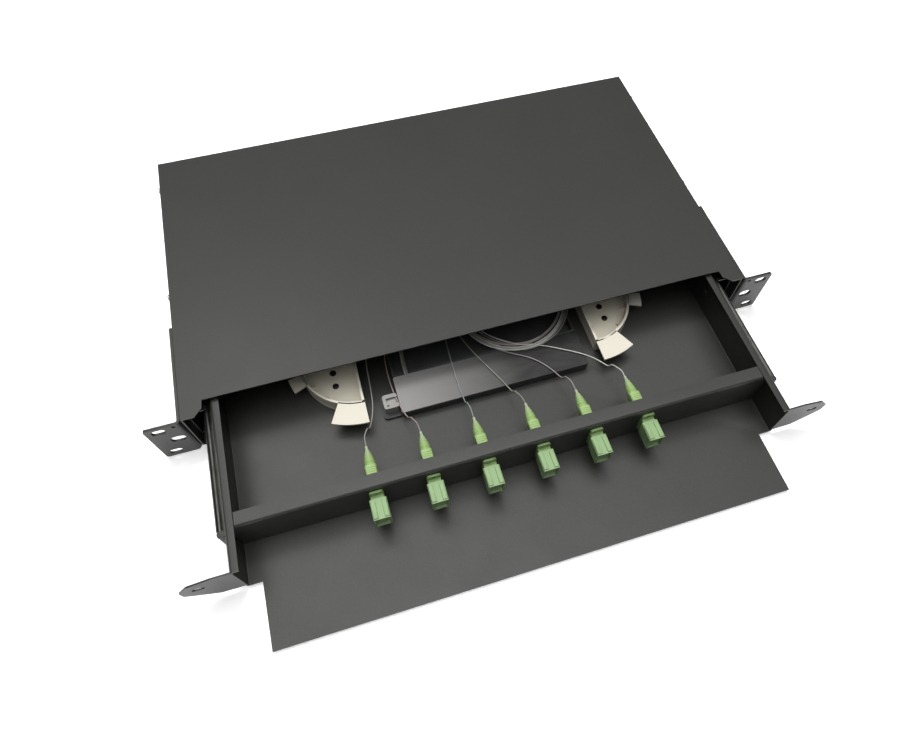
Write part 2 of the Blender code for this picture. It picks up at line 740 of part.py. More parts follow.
# Routes in millimetres: from each boot's tip to the place where the fibre joins the coil.
PIGTAIL_ROUTES = {
    1: [(-99.25, -45.6, 23.5), (-98.4, -37, 22.6), (-93, -26, 18.8), (-88.2, -12, 15.6), (-86.4, 8, 14.2),
        (-84.5, 34, 14), (-76, 60, 14), (-56, 86, 14.2), (-26, 103, 14.4), (8, 108.2, 14.4), (41, 105, 14.3)],
    2: [(-59.55, -45.6, 23.5), (-60.8, -37, 22.6), (-66, -26, 18.6), (-70, -10, 15), (-71.6, 12, 14.2),
        (-70.2, 30, 14), (-64, 52, 14), (-47, 78, 14.2), (-20, 96.5, 14.3), (8, 103, 14.3),
        (28, 102.8, 14.3)],
    3: [(-19.85, -45.6, 23.5), (-19.8, -37, 22.2), (-21, -26, 17), (-21.8, -12, 13.6), (-21.6, 4, 13),
        (-21, 22, 13.2), (-19, 44, 13.8), (-12, 66, 14.2), (-1.5, 82, 14.3)],
    4: [(19.85, -45.6, 23.5), (19.4, -40, 22.2), (16.4, -30, 17.6), (11.6, -18, 13.8), (6.2, -6.6, 13),
        (0, 7, 13.4), (-4.6, 18, 14)],
    5: [(59.55, -45.6, 23.5), (59.2, -38, 22.2), (56.6, -29, 18), (51.2, -18.5, 13.8), (44.6, -9.5, 13.2),
        (37, -2.6, 13.8), (30.8, 0.6, 14.2)],
    6: [(99.25, -45.6, 23.5), (99.2, -40, 22.6), (95.6, -30.5, 18.4), (89.6, -21.6, 15.8),
        (82.6, -14.8, 14.6), (74.6, -9.4, 14), (65.3, -4, 13.8), (56, 1.6, 14)],
}
# From under the coil, round the well and through the rib's slot into the splice strip.
TAIL_ROUTE = [(-3.5, 46, 10.3), (-5.5, 58, 9.6), (-14, 68, 8.4), (-28, 71.5, 7.4), (-43, 65, 6.9),
              (-52.5, 51, 6.6), (-56.5, 34, 6.5), (-57, 20, 6.5), (-57, 9, 6.5), (-56, 0, 6.5),
              (-50, -6.5, 6.9)]
TAIL_DIAMETER = 2.7 * MM


def build_fibres(parent, white):
    for number, points in PIGTAIL_ROUTES.items():
        build_cord(f"pigtail_{number}", white, parent, points, FIBRE_DIAMETER)
    build_cord("splice_tail", white, parent, TAIL_ROUTE, TAIL_DIAMETER)
    low = TRAY_TOP + GAP
    high = low + 4 * MM
    rounding = 1.4 * MM
    section = fillet(box_outline((COIL_INNER, low), (COIL_OUTER, high)), rounding, steps=1)
    build("fibre_coil", white, parent, [turned(section, "Z", COIL_CENTRE, 48)])


def main():
    clear_scene()
    black = make_material("black_steel", (0.040, 0.040, 0.038), 0.55, 0.4)
    zinc = make_material("zinc_steel", (0.42, 0.42, 0.40), 0.38, 1.0)
    screw_steel = make_material("screw_steel", (0.30, 0.30, 0.31), 0.35, 1.0)
    gland_black = make_material("gland_black", (0.020, 0.020, 0.021), 0.5)
    green = make_material("coupler_green", (0.12, 0.34, 0.10), 0.4)
    plug_green = make_material("boot_green", (0.24, 0.45, 0.10), 0.45)
    pale = make_material("cap_pale", (0.55, 0.72, 0.50), 0.4)
    cream = make_material("cream_plastic", (0.80, 0.77, 0.63), 0.45)
    dark = make_material("dark_plastic", (0.035, 0.036, 0.038), 0.5)
    grey = make_material("grey_plastic", (0.20, 0.20, 0.19), 0.5)
    white = make_material("white_plastic", (0.78, 0.78, 0.74), 0.45)
    rubber = make_material("splice_rubber", (0.03, 0.03, 0.03), 0.8)
    fibre = make_material("fibre_white", (0.75, 0.76, 0.70), 0.4)

    rack_plane = make_empty("rack_plane", (0, -ORIGIN_Y, 0))
    case = make_empty("case", parent=rack_plane)
    drawer = make_empty("drawer", parent=case)
    cages = {name: make_empty(f"cage_{name}", parent=case) for name, _ in SIDES}
    caps = {number: make_empty(f"dust_cap_{number}", parent=drawer) for number in PORTS}

    build_case_body(case, black)
    build_top_cover(case, black)
    build_rack_ears(case, black)
    build_case_screws(case, screw_steel)
    build_glands(case, gland_black)
    build_slides(case, drawer, cages, zinc, screw_steel)
    build_drawer_tray(drawer, black)
    build_adapter_panel(drawer, black)
    build_couplers(drawer, caps, green, plug_green, pale)
    build_guides(drawer, cream)
    build_splice_tray(drawer, dark, grey, white, rubber)
    build_fibres(drawer, fibre)


main()
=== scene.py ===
"""The looks of a rack drawer that terminates optical fibre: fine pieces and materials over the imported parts.

Places are written about the rack's mounting plane, as in the part: X across the rack, Y towards its rear
and Z up, in metres, as millimetres times MM. at() turns such a place into the frame's own coordinates.
"""

from math import cos, pi, radians, sin

import bmesh
import bpy
import numpy as np
from mathutils import Euler, Matrix, Vector
from mathutils.kdtree import KDTree


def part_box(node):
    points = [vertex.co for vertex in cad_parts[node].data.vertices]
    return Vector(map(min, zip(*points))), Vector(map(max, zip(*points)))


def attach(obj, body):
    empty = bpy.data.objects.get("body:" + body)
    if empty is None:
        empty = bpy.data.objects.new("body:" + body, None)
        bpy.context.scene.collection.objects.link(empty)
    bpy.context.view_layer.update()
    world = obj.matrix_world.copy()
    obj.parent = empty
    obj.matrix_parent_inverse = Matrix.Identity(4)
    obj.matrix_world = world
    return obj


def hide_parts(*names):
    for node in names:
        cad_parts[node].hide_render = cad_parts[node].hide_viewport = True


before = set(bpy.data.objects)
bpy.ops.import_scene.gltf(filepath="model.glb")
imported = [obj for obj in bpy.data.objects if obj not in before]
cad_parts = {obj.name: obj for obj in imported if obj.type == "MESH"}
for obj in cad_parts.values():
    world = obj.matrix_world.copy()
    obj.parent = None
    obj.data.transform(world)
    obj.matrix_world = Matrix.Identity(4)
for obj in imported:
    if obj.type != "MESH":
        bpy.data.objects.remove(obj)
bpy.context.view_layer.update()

MM = 0.001
RACK_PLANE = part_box("top_cover")[0].y
SIDES = (("left", -1), ("right", 1))
PORTS = range(1, 7)
# How far a cutter reaches past the face that it cuts through.
PAST = 1 * MM
CORNER_STEPS = 5
SHARP = radians(32)


def mm(*values):
    """Several lengths in millimetres, in metres."""
    return [value * MM for value in values]


def at(x, y, z):
    return Vector((x, y + RACK_PLANE, z))


def along_y(name):
    """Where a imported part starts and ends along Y, about the rack plane."""
    return [corner.y - RACK_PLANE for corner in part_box(name)]


def show(obj):
    bpy.context.scene.collection.objects.link(obj)


# Outlines and solids.


def arc(centre, radius, start, end, steps):
    """Points on a circle from one angle to another, in degrees."""
    angles = [radians(start + (end - start) * i / steps) for i in range(steps + 1)]
    return [(centre[0] + radius * cos(a), centre[1] + radius * sin(a)) for a in angles]


def rectangle(one, other, radius=0.0):
    """A rectangle between two opposite corners, all four of them rounded."""
    (x0, x1), (y0, y1) = (sorted(pair) for pair in zip(one, other))
    if not radius:
        return [(x0, y0), (x1, y0), (x1, y1), (x0, y1)]
    x0, y0, x1, y1 = x0 + radius, y0 + radius, x1 - radius, y1 - radius
    corners = [(x1, y1, 0), (x0, y1, 90), (x0, y0, 180), (x1, y0, 270)]
    return [p for x, y, turn in corners for p in arc((x, y), radius, turn, turn + 90, CORNER_STEPS)]


def hexagon(across_flats):
    return arc((0, 0), across_flats / 2 / cos(pi / 6), 0, 300, 5)


def strip(path, thickness):
    """The closed outline of a folded sheet that follows an open path."""
    points = [Vector(p) for p in path]
    ways = [b - a for a, b in zip(points, points[1:])]
    ways = [ways[0], *ways, ways[-1]]
    sides = []
    for point, before, after in zip(points, ways, ways[1:]):
        normals = [Vector((-way.y, way.x)).normalized() for way in (before, after)]
        normal = (normals[0] + normals[1]).normalized()
        stretch = thickness / 2 / max(normal.dot(normals[0]), 0.5)
        sides.append((point + normal * stretch, point - normal * stretch))
    return [tuple(a) for a, _ in sides] + [tuple(b) for _, b in reversed(sides)]


def placed(axis, a, b, c):
    """The point (a, b) of an outline at height c along the axis that it is swept on."""
    return {"X": (c, a, b), "Y": (a, c, b), "Z": (a, b, c)}[axis]


def prism(outline, one, other, axis="Z"):
    """An outline swept along an axis, from one place to another."""
    bm = bmesh.new()
    rings = [[bm.verts.new(placed(axis, a, b, c)) for a, b in outline] for c in sorted((one, other))]
    for ring in rings:
        bm.faces.new(ring)
    for i in range(len(outline)):
        bm.faces.new((rings[0][i - 1], rings[0][i], rings[1][i], rings[1][i - 1]))
    bmesh.ops.recalc_face_normals(bm, faces=bm.faces)
    return bm


def block(one, other, radius=0.0, axis="Z"):
    """A cuboid between two opposite corners, its edges along one axis rounded."""
    a, b, c = {"X": (1, 2, 0), "Y": (0, 2, 1), "Z": (0, 1, 2)}[axis]
    outline = rectangle((one[a], one[b]), (other[a], other[b]), radius)
    return prism(outline, one[c], other[c], axis)


def turned(profile, axis="Y", centre=(0, 0), segments=40):
    """A closed (radius, height) profile spun about an axis; a point of radius 0 becomes a pole."""
    bm = bmesh.new()
    rings = []
    for radius, height in profile:
        if radius == 0:
            rings.append([bm.verts.new(placed(axis, *centre, height))] * segments)
            continue
        around = arc(centre, radius, 0, 360 * (1 - 1 / segments), segments - 1)
        rings.append([bm.verts.new(placed(axis, a, b, height)) for a, b in around])
    for k, ring in enumerate(rings):
        last = rings[k - 1]
        for i in range(segments):
            corners = list(dict.fromkeys((last[i - 1], last[i], ring[i], ring[i - 1])))
            if len(corners) > 2:
                bm.faces.new(corners)
    bmesh.ops.recalc_face_normals(bm, faces=bm.faces)
    return bm


def rod(axis, centre, radius, low, high, segments=32):
    return turned([(0, low), (radius, low), (radius, high), (0, high)], axis, centre, segments)


def tube(inner, outer, low, high, segments):
    return turned([(inner, low), (outer, low), (outer, high), (inner, high)], segments=segments)


def solid(adds, cuts=()):
    """One mesh: all the solids in adds joined, and all those in cuts taken away."""
    main, *tools = [bpy.data.objects.new("tool", bpy.data.meshes.new("tool")) for _ in (*adds, *cuts)]
    for obj, bm in zip([main, *tools], [*adds, *cuts]):
        bm.to_mesh(obj.data)
        bm.free()
        show(obj)
    for i, tool in enumerate(tools):
        modifier = main.modifiers.new("join or cut", "BOOLEAN")
        modifier.operation = "UNION" if i < len(adds) - 1 else "DIFFERENCE"
        modifier.object = tool
    bpy.context.view_layer.update()
    mesh = bpy.data.meshes.new_from_object(main.evaluated_get(bpy.context.evaluated_depsgraph_get()))
    for obj in (main, *tools):
        bpy.data.objects.remove(obj, do_unlink=True)
    return mesh


def together(*shells):
    """One mesh of several separate closed shells."""
    bm = bmesh.new()
    for shell in shells:
        part = bpy.data.meshes.new("part")
        shell.to_mesh(part)
        shell.free()
        bm.from_mesh(part)
        bpy.data.meshes.remove(part)
    mesh = bpy.data.meshes.new("together")
    bm.to_mesh(mesh)
    bm.free()
    return mesh


def soften(obj, width, rubbed=None):
    """Rounds an object's sharp edges; rubbed is the material that shows there, if another one does."""
    obj.data.shade_smooth()
    bevel = obj.modifiers.new("soft edges", "BEVEL")
    bevel.width = width
    bevel.segments = 2
    bevel.limit_method = "ANGLE"
    bevel.angle_limit = SHARP
    bevel.harden_normals = True
    if rubbed:
        obj.data.materials.append(rubbed)
        bevel.material = len(obj.data.materials) - 1


def piece(name, mesh, material, where=(0, 0, 0), edge=0.0, replaces=(), body="drawer"):
    """A new piece of a body. Its mesh is drawn about a place in rack coordinates."""
    if isinstance(mesh, bmesh.types.BMesh):
        mesh = together(mesh)
    if not mesh.materials:
        mesh.materials.append(material)
    mesh.shade_smooth()
    obj = bpy.data.objects.new(name, mesh)
    obj.location = at(*where)
    show(obj)
    if edge:
        soften(obj, edge)
    else:
        mesh.set_sharp_from_angle(angle=SHARP)
    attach(obj, body)
    if replaces:
        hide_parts(*replaces)
    return obj


def dress(nodes, material, edge, rubbed=None):
    """Gives CAD parts their finish and rounds their sharp edges."""
    for name in nodes:
        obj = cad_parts[name]
        mesh = obj.data
        mesh.materials.clear()
        mesh.materials.append(material)
        mesh.attributes.remove(mesh.attributes["custom_normal"])
        weld = obj.modifiers.new("join corners", "WELD")
        weld.merge_threshold = 0.01 * MM
        flat = obj.modifiers.new("whole faces", "DECIMATE")
        flat.decimate_type = "DISSOLVE"
        flat.angle_limit = radians(1)
        soften(obj, edge, rubbed)
        mesh.attributes["sharp_edge"].data.foreach_set("value", [False] * len(mesh.edges))


# Materials.


class Finish:
    """One material's nodes. Sizes are those of its grain, in metres."""

    def __init__(self, name, colour, roughness, metallic=0.0, **values):
        self.material = bpy.data.materials.new(name)
        self.material.use_nodes = True
        self.nodes = self.material.node_tree.nodes
        self.links = self.material.node_tree.links
        self.shader = self.nodes["Principled BSDF"]
        self.place = self.nodes.new("ShaderNodeTexCoord").outputs["Object"]
        self.shader.inputs["Base Color"].default_value = (*colour, 1)
        self.shader.inputs["Roughness"].default_value = roughness
        self.shader.inputs["Metallic"].default_value = metallic
        for socket, value in values.items():
            self.shader.inputs[socket.replace("_", " ")].default_value = value
        self.last_bump = None

    def grain(self, size, detail=3.0, stretch=(1, 1, 1), offset=0.0):
        """Noise whose features are about this size, drawn out by stretch along each axis."""
        mapping = self.nodes.new("ShaderNodeMapping")
        mapping.inputs["Scale"].default_value = [1 / (size * s) for s in stretch]
        mapping.inputs["Location"].default_value = (offset, offset, offset)
        self.links.new(self.place, mapping.inputs["Vector"])
        texture = self.nodes.new("ShaderNodeTexNoise")
        texture.inputs["Scale"].default_value = 1.0
        texture.inputs["Detail"].default_value = detail
        self.links.new(mapping.outputs["Vector"], texture.inputs["Vector"])
        return texture.outputs["Fac"]

    def span(self, value, low, high, from_low=0.3, from_high=0.7):
        """The value moved from one range into another."""
        node = self.nodes.new("ShaderNodeMapRange")
        node.inputs["From Min"].default_value = from_low
        node.inputs["From Max"].default_value = from_high
        node.inputs["To Min"].default_value = low
        node.inputs["To Max"].default_value = high
        self.links.new(value, node.inputs["Value"])
        return node.outputs["Result"]

    def blend(self, share, first, second):
        """A colour between two, each a colour or another blend's output."""
        node = self.nodes.new("ShaderNodeMix")
        node.data_type = "RGBA"
        self.links.new(share, node.inputs["Factor"])
        for socket, colour in ((node.inputs[6], first), (node.inputs[7], second)):
            if isinstance(colour, tuple):
                socket.default_value = (*colour, 1)
            else:
                self.links.new(colour, socket)
        return node.outputs[2]

    def use(self, socket, value):
        self.links.new(value, self.shader.inputs[socket])

    def bump(self, height, depth):
        """Relief of this depth, in metres, on top of any that is there already."""
        node = self.nodes.new("ShaderNodeBump")
        node.inputs["Strength"].default_value = 1.0
        node.inputs["Distance"].default_value = depth
        self.links.new(height, node.inputs["Height"])
        if self.last_bump:
            self.links.new(self.last_bump, node.inputs["Normal"])
        self.last_bump = node.outputs["Normal"]
        self.use("Normal", self.last_bump)


def tint(colour, by):
    return tuple(min(1.0, c * by) for c in colour)


def powder_coat(name, colour, rubbed=0.0):
    """Black powder paint: a fine pebbled skin and faint clouds, brighter where it is rubbed thin."""
    finish = Finish(name, colour, 0.4, Specular_IOR_Level=0.5)
    clouds = finish.span(finish.grain(70 * MM, 4), 0, 1)
    speck = finish.span(finish.grain(0.9 * MM, 2), 0, 1, 0.42, 0.6)
    base = finish.blend(clouds, tint(colour, 0.96), tint(colour, 1.05))
    base = finish.blend(finish.span(speck, 0, 0.35, 0, 1), base, tint(colour, 1.5))
    if rubbed:
        worn = finish.span(finish.grain(7 * MM, 6, offset=3), 0, rubbed, 0.47, 0.62)
        base = finish.blend(worn, base, (0.20, 0.20, 0.19))
    finish.use("Base Color", base)
    finish.use("Roughness", finish.span(finish.grain(26 * MM, 5, offset=7), 0.385, 0.425))
    finish.bump(finish.grain(3.2 * MM, 2, offset=1), 0.05 * MM)
    finish.bump(finish.grain(0.8 * MM, 2), 0.035 * MM)
    return finish.material


def plated(name, colour, roughness, along=(1, 1, 1)):
    """Zinc-plated or plain steel: a drawn grain, dull patches and fine scratches."""
    finish = Finish(name, colour, roughness, 1.0)
    patches = finish.span(finish.grain(12 * MM, 5), 0, 1)
    finish.use("Base Color", finish.blend(patches, tint(colour, 0.8), tint(colour, 1.15)))
    finish.use("Roughness", finish.span(finish.grain(5 * MM, 4, offset=5), roughness * 0.75, roughness * 1.3))
    finish.bump(finish.grain(0.35 * MM, 3, stretch=along), 0.012 * MM)
    return finish.material


def moulded(name, colour, roughness, grain=0.6 * MM, depth=0.02 * MM, mottle=0.08, dirt=None, **values):
    """Moulded plastic: an even tone with faint flow marks, spark-eroded grain, and dust in one tint."""
    finish = Finish(name, colour, roughness, **values)
    flow = finish.span(finish.grain(9 * MM, 4), 0, 1)
    base = finish.blend(flow, tint(colour, 1 - mottle), tint(colour, 1 + mottle))
    if dirt:
        smear = finish.span(finish.grain(4 * MM, 6, offset=2), 0, 0.35, 0.52, 0.75)
        base = finish.blend(smear, base, dirt)
    finish.use("Base Color", base)
    finish.use("Roughness", finish.span(finish.grain(3 * MM, 3, offset=4), roughness * 0.85, roughness * 1.2))
    finish.bump(finish.grain(grain, 2), depth)
    return finish.material


def graded_along(name, axis, ends, pale, deep, **values):
    """Moulded plastic whose colour goes from pale to deep between two places along an axis; each use paints
    light or shade this way.
    """
    finish = Finish(name, deep, 0.4, **values)
    parts = finish.nodes.new("ShaderNodeSeparateXYZ")
    finish.links.new(finish.place, parts.inputs["Vector"])
    along = finish.span(parts.outputs[axis], 0, 1, *ends)
    patchy = finish.blend(along, pale, deep)
    smear = finish.span(finish.grain(6 * MM, 5, stretch=(3, 1, 1)), 0, 0.1)
    finish.use("Base Color", finish.blend(smear, patchy, tint(pale, 0.8)))
    finish.use("Roughness", finish.span(finish.grain(4 * MM, 4, offset=2), 0.34, 0.5))
    finish.bump(finish.grain(0.5 * MM, 2), 0.015 * MM)
    return finish.material


def jacket(name, colour):
    """A fibre's tight buffer: smooth, slightly waxy, with a faint change of tone along its length."""
    finish = Finish(name, colour, 0.38, Coat_Weight=0.15, Coat_Roughness=0.3)
    tone = finish.span(finish.grain(11 * MM, 3), 0, 1)
    finish.use("Base Color", finish.blend(tone, tint(colour, 0.86), tint(colour, 1.05)))
    finish.use("Roughness", finish.span(finish.grain(2 * MM, 3), 0.3, 0.5))
    finish.bump(finish.grain(0.5 * MM, 2, offset=6), 0.01 * MM)
    return finish.material


BLACK = (0.025, 0.025, 0.0228)
black = powder_coat("powder_coat", BLACK)
black_edge = powder_coat("powder_coat_edge", tint(BLACK, 1.5), rubbed=0.45)
zinc = plated("zinc_plate", (0.105, 0.105, 0.098), 0.42, along=(1, 30, 1))
bolt_steel = plated("bolt_steel", (0.42, 0.42, 0.42), 0.3)
ball_steel = plated("ball_steel", (0.55, 0.55, 0.56), 0.16)
black_screw = plated("black_screw", (0.05, 0.05, 0.05), 0.4)
nylon = moulded("black_nylon", (0.022, 0.022, 0.023), 0.5, grain=0.9 * MM, depth=0.03 * MM, mottle=0.15)
seal_rubber = moulded("seal_rubber", (0.03, 0.03, 0.03), 0.75, mottle=0.2)
coupler_green = moulded("coupler_green", (0.19, 0.31, 0.11), 0.4, mottle=0.1, Coat_Weight=0.15)
cap_green = moulded("cap_green", (0.20, 0.312, 0.138), 0.36, mottle=0.07, Coat_Weight=0.2)
boot_green = moulded("boot_green", (0.26, 0.39, 0.14), 0.45, mottle=0.1)
# The boots are painted paler towards their tips: a painted sheen highlight.
boot_soft = graded_along("boot_soft", "Y", mm(-46.5, -56), (0.32, 0.375, 0.26), (0.225, 0.345, 0.115))
ceramic = moulded("ceramic", (0.85, 0.85, 0.82), 0.2, mottle=0.03)
# The guides are painted lighter on their base, below 5.5 mm, than on their walls and tabs above 10 mm: painted
# light on the base that the cover shades.
cream = graded_along("cream_plastic", "Z", mm(10, 5.5), (0.57, 0.54, 0.455), (0.80, 0.76, 0.63))
tray_black = moulded("tray_black", (0.03, 0.031, 0.033), 0.5, mottle=0.15)
# The lid runs from light grey at its left end to near black at its right: a painted highlight at the left end
# and painted shade towards the right.
lid_grey = graded_along("lid_grey", "X", mm(-66, 30), (0.225, 0.22, 0.215), (0.016, 0.0165, 0.016),
                 Specular_IOR_Level=0.25)
clip_white = moulded("clip_white", (0.235, 0.23, 0.222), 0.45, mottle=0.05, dirt=(0.45, 0.42, 0.36))
comb_rubber = moulded("comb_rubber", (0.03, 0.03, 0.032), 0.8, mottle=0.2)
sleeve_clear = moulded("sleeve_clear", (0.75, 0.78, 0.78), 0.2, mottle=0.04, Transmission_Weight=0.6)
fibre_tints = {
    1: jacket("fibre_cream", (0.25, 0.245, 0.215)),
    2: jacket("fibre_rose", (0.29, 0.225, 0.215)),
    3: jacket("fibre_aqua", (0.21, 0.25, 0.24)),
    4: jacket("fibre_olive", (0.25, 0.25, 0.205)),
    5: jacket("fibre_violet", (0.27, 0.245, 0.26)),
    6: jacket("fibre_white", (0.50, 0.50, 0.47)),
}


# Camera, light and floor.


def make_camera():
    """The view from above the left front corner."""
    data = bpy.data.cameras.new("camera")
    data.lens = 25.93
    data.sensor_width = 36
    data.shift_x = -0.0363
    camera = bpy.data.objects.new("camera", data)
    across = Vector((0.955458, -0.294540, 0.018591))
    up = Vector((0.247813, 0.834901, 0.491457))
    camera.matrix_world = Matrix((across, up, across.cross(up))).transposed().to_4x4()
    camera.location = (-0.0773, -0.29995, 0.4563)
    show(camera)
    bpy.context.scene.camera = camera


def area_light(name, place, size, watts, glossy=True):
    """A round softbox that faces the object."""
    data = bpy.data.lights.new(name, "AREA")
    data.shape = "DISK"
    data.size = size
    data.energy = watts
    light = bpy.data.objects.new(name, data)
    light.location = place
    light.rotation_euler = (-light.location).to_track_quat("-Z", "Y").to_euler()
    light.visible_glossy = glossy
    show(light)


def math_node(nodes, links, operation, value, by):
    node = nodes.new("ShaderNodeMath")
    node.operation = operation
    links.new(value, node.inputs[0])
    node.inputs[1].default_value = by
    return node.outputs["Value"]


def make_sky():
    """A dome that is bright overhead and nearly dark at the horizon."""
    steepness, rise, horizon = 8, 4.0, 0.07
    world = bpy.data.worlds.new("studio")
    world.use_nodes = True
    nodes, links = world.node_tree.nodes, world.node_tree.links
    height = nodes.new("ShaderNodeSeparateXYZ")
    links.new(nodes.new("ShaderNodeTexCoord").outputs["Generated"], height.inputs["Vector"])
    level = math_node(nodes, links, "MAXIMUM", height.outputs["Z"], 0)
    level = math_node(nodes, links, "POWER", level, steepness)
    level = math_node(nodes, links, "MULTIPLY", level, rise)
    level = math_node(nodes, links, "ADD", level, horizon)
    links.new(level, nodes["Background"].inputs["Strength"])
    nodes["Background"].inputs["Color"].default_value = (1, 1, 1, 1)
    bpy.context.scene.world = world


def make_studio():
    """The sky, a key light over the rear, a softbox at the left and a plain pale floor."""
    make_sky()
    bpy.context.scene.view_settings.view_transform = "Standard"
    area_light("key", (0.12, 0.50, 1.5), 0.36, 16.5, glossy=False)
    area_light("softbox", (-0.45, 0.62, 1.35), 0.6, 2.4)
    pale = (0.9, 0.9, 0.9)
    finish = Finish("floor_white", pale, 0.7, Emission_Strength=0.3)
    finish.shader.inputs["Emission Color"].default_value = (1, 1, 1, 1)
    patches = finish.span(finish.grain(0.4, 3), 0, 1)
    finish.use("Base Color", finish.blend(patches, pale, (0.94, 0.94, 0.94)))
    mesh = together(block((-6, -6, -0.02), (6, 6, -0.0004)))
    mesh.materials.append(finish.material)
    floor = bpy.data.objects.new("floor", mesh)
    show(floor)
    floor.visible_diffuse = False


make_camera()
make_studio()


# Fibres.

BOOT_TIP = -46 * MM
PORT_PITCH = 39.7 * MM
PORT_HEIGHT = 23.5 * MM
FIBRE = 0.9 * MM
COIL_CENTRE = Vector((0.042, 0.051, 0))
COIL_MIDDLE = 45.2 * MM
COIL_SPREAD = 6.6 * MM
COIL_FLOOR = 12.8 * MM
# Degrees: where the fibres leave the coil, over how many they gather and join it, and from point to point.
COIL_EXIT = 186
COIL_GATHER = 120
COIL_ENTRY = 48
COIL_STEP = 8
# The share of its radius by which the coil is pressed in at its right.
COIL_FLAT = 0.07
SAMPLE = 1.1 * MM
# From each boot to the coil, in metres, as in the part.
PIGTAIL_ROUTES = {
    1: [(-0.09925, -0.0456, 0.0235), (-0.0984, -0.037, 0.0226), (-0.093, -0.026, 0.0188),
        (-0.0882, -0.012, 0.0156), (-0.0864, 0.008, 0.0142), (-0.0845, 0.034, 0.014), (-0.076, 0.060, 0.014),
        (-0.056, 0.086, 0.0142), (-0.026, 0.103, 0.0144), (0.008, 0.1082, 0.0144), (0.041, 0.105, 0.0143)],
    2: [(-0.05955, -0.0456, 0.0235), (-0.0608, -0.037, 0.0226), (-0.066, -0.026, 0.0186),
        (-0.070, -0.010, 0.015), (-0.0716, 0.012, 0.0142), (-0.0702, 0.030, 0.014), (-0.064, 0.052, 0.014),
        (-0.047, 0.078, 0.0142), (-0.020, 0.0965, 0.0143), (0.008, 0.103, 0.0143), (0.028, 0.1028, 0.0143)],
    3: [(-0.01985, -0.0456, 0.0235), (-0.0198, -0.037, 0.0222), (-0.021, -0.026, 0.017),
        (-0.0218, -0.012, 0.0136), (-0.0216, 0.004, 0.013), (-0.021, 0.022, 0.0132), (-0.019, 0.044, 0.0138),
        (-0.012, 0.066, 0.0142), (-0.0015, 0.082, 0.0143)],
    4: [(0.01985, -0.0456, 0.0235), (0.0194, -0.040, 0.0222), (0.0164, -0.030, 0.0176),
        (0.0116, -0.018, 0.0138), (0.0062, -0.0066, 0.013), (0, 0.007, 0.0134), (-0.0046, 0.018, 0.014)],
    5: [(0.05955, -0.0456, 0.0235), (0.0592, -0.037, 0.0222), (0.0566, -0.029, 0.018),
        (0.0512, -0.0185, 0.0138), (0.0446, -0.0095, 0.0132), (0.037, -0.0026, 0.0138),
        (0.0308, 0.0006, 0.0142)],
    6: [(0.09925, -0.0456, 0.0235), (0.0992, -0.040, 0.0226), (0.0956, -0.0305, 0.0184),
        (0.0896, -0.0216, 0.0158), (0.0826, -0.0148, 0.0146), (0.0746, -0.0094, 0.014),
        (0.0653, -0.004, 0.0138), (0.056, 0.0016, 0.014)],
}
# From under the coil, round the well and into the splice strip.
TAIL_ROUTE = [(-0.0035, 0.046, 0.0103), (-0.0055, 0.058, 0.0096), (-0.014, 0.068, 0.0084),
              (-0.028, 0.0715, 0.0074), (-0.043, 0.065, 0.0069), (-0.0525, 0.051, 0.0066),
              (-0.0565, 0.034, 0.0065), (-0.057, 0.020, 0.0065), (-0.057, 0.009, 0.0065),
              (-0.056, 0, 0.0065), (-0.050, -0.0065, 0.0069)]
# Each fibre's own place in the bundle that leaves the coil, in millimetres: across it, and above its floor.
LANES = {1: (-0.95, 0), 2: (0, 0), 3: (0.95, 0), 4: (-0.5, 0.85), 5: (0.45, 0.85), 6: (1.4, 0.85)}
WHOLE_TURNS = {1: 1, 2: 1, 3: 1, 4: 2, 5: 2, 6: 2}


def catmull(knots, steps=10):
    """A smooth curve through the knots."""
    knots = [Vector(k) for k in knots]
    knots = [2 * knots[0] - knots[1], *knots, 2 * knots[-1] - knots[-2]]
    line = []
    for a, b, c, d in zip(knots, knots[1:], knots[2:], knots[3:]):
        for step in range(steps):
            t = step / steps
            bend = 2 * a - 5 * b + 4 * c - d
            twist = 3 * b - a - 3 * c + d
            line.append((2 * b + (c - a) * t + bend * t**2 + twist * t**3) / 2)
    return [*line, knots[-2]]


def spaced(line, step):
    """The line again, as points this far apart."""
    line = np.array(line)
    along = np.concatenate([[0], np.cumsum(np.linalg.norm(np.diff(line, axis=0), axis=1))])
    places = np.linspace(0, along[-1], max(2, round(along[-1] / step) + 1))
    return np.stack([np.interp(places, along, line[:, k]) for k in range(3)], axis=1)


def between_turns(turn, at_whole):
    """A value that is at_whole(k) on each whole turn k and changes smoothly from one to the next."""
    whole = int(turn)
    share = turn - whole
    share = share * share * (3 - 2 * share)
    return at_whole(whole) * (1 - share) + at_whole(whole + 1) * share


def sway(number, turn, channel):
    """A fixed number between -1 and 1 that looks random, for a fibre's turn and a channel."""
    return between_turns(
        turn, lambda k: sin(12.9898 * (number + 7 * k) + 78.233 * channel) * 43758.5453 % 2 - 1)


def rank(number, turn):
    """A fibre's place across the coil, from -1 to 1."""
    return between_turns(turn, lambda k: (5 * number + 3 * k) % 9 / 4 - 1)


def groove_y(number):
    """Where a fibre's groove in the splice comb lies along Y."""
    return along_y("splice_comb")[0] + (1.3 + 1.5) * MM + (number - 1) * 4.3 * MM


def coil_place(number, angle, left):
    """Where a fibre lies in the coil, left being the degrees it has still to go round."""
    wander, lift, lift_per_turn, lift_per_fibre = 1.9, 1.2, 3.2, 0.5
    turn = left / 360
    across = LANES[number][0] * MM
    spread = min(1, left / COIL_GATHER)
    radius = COIL_MIDDLE + spread * COIL_SPREAD * rank(number, turn) + (1 - spread) * across
    radius *= 1 - COIL_FLAT * spread * max(0, cos(angle))
    aside = Vector((sway(number, turn, 2), sway(number, turn, 3), 0)) * wander * MM * spread
    height = COIL_FLOOR + (lift + lift_per_turn * turn + lift_per_fibre * number) * MM * spread
    return COIL_CENTRE + aside + Vector((radius * cos(angle), radius * sin(angle), height))


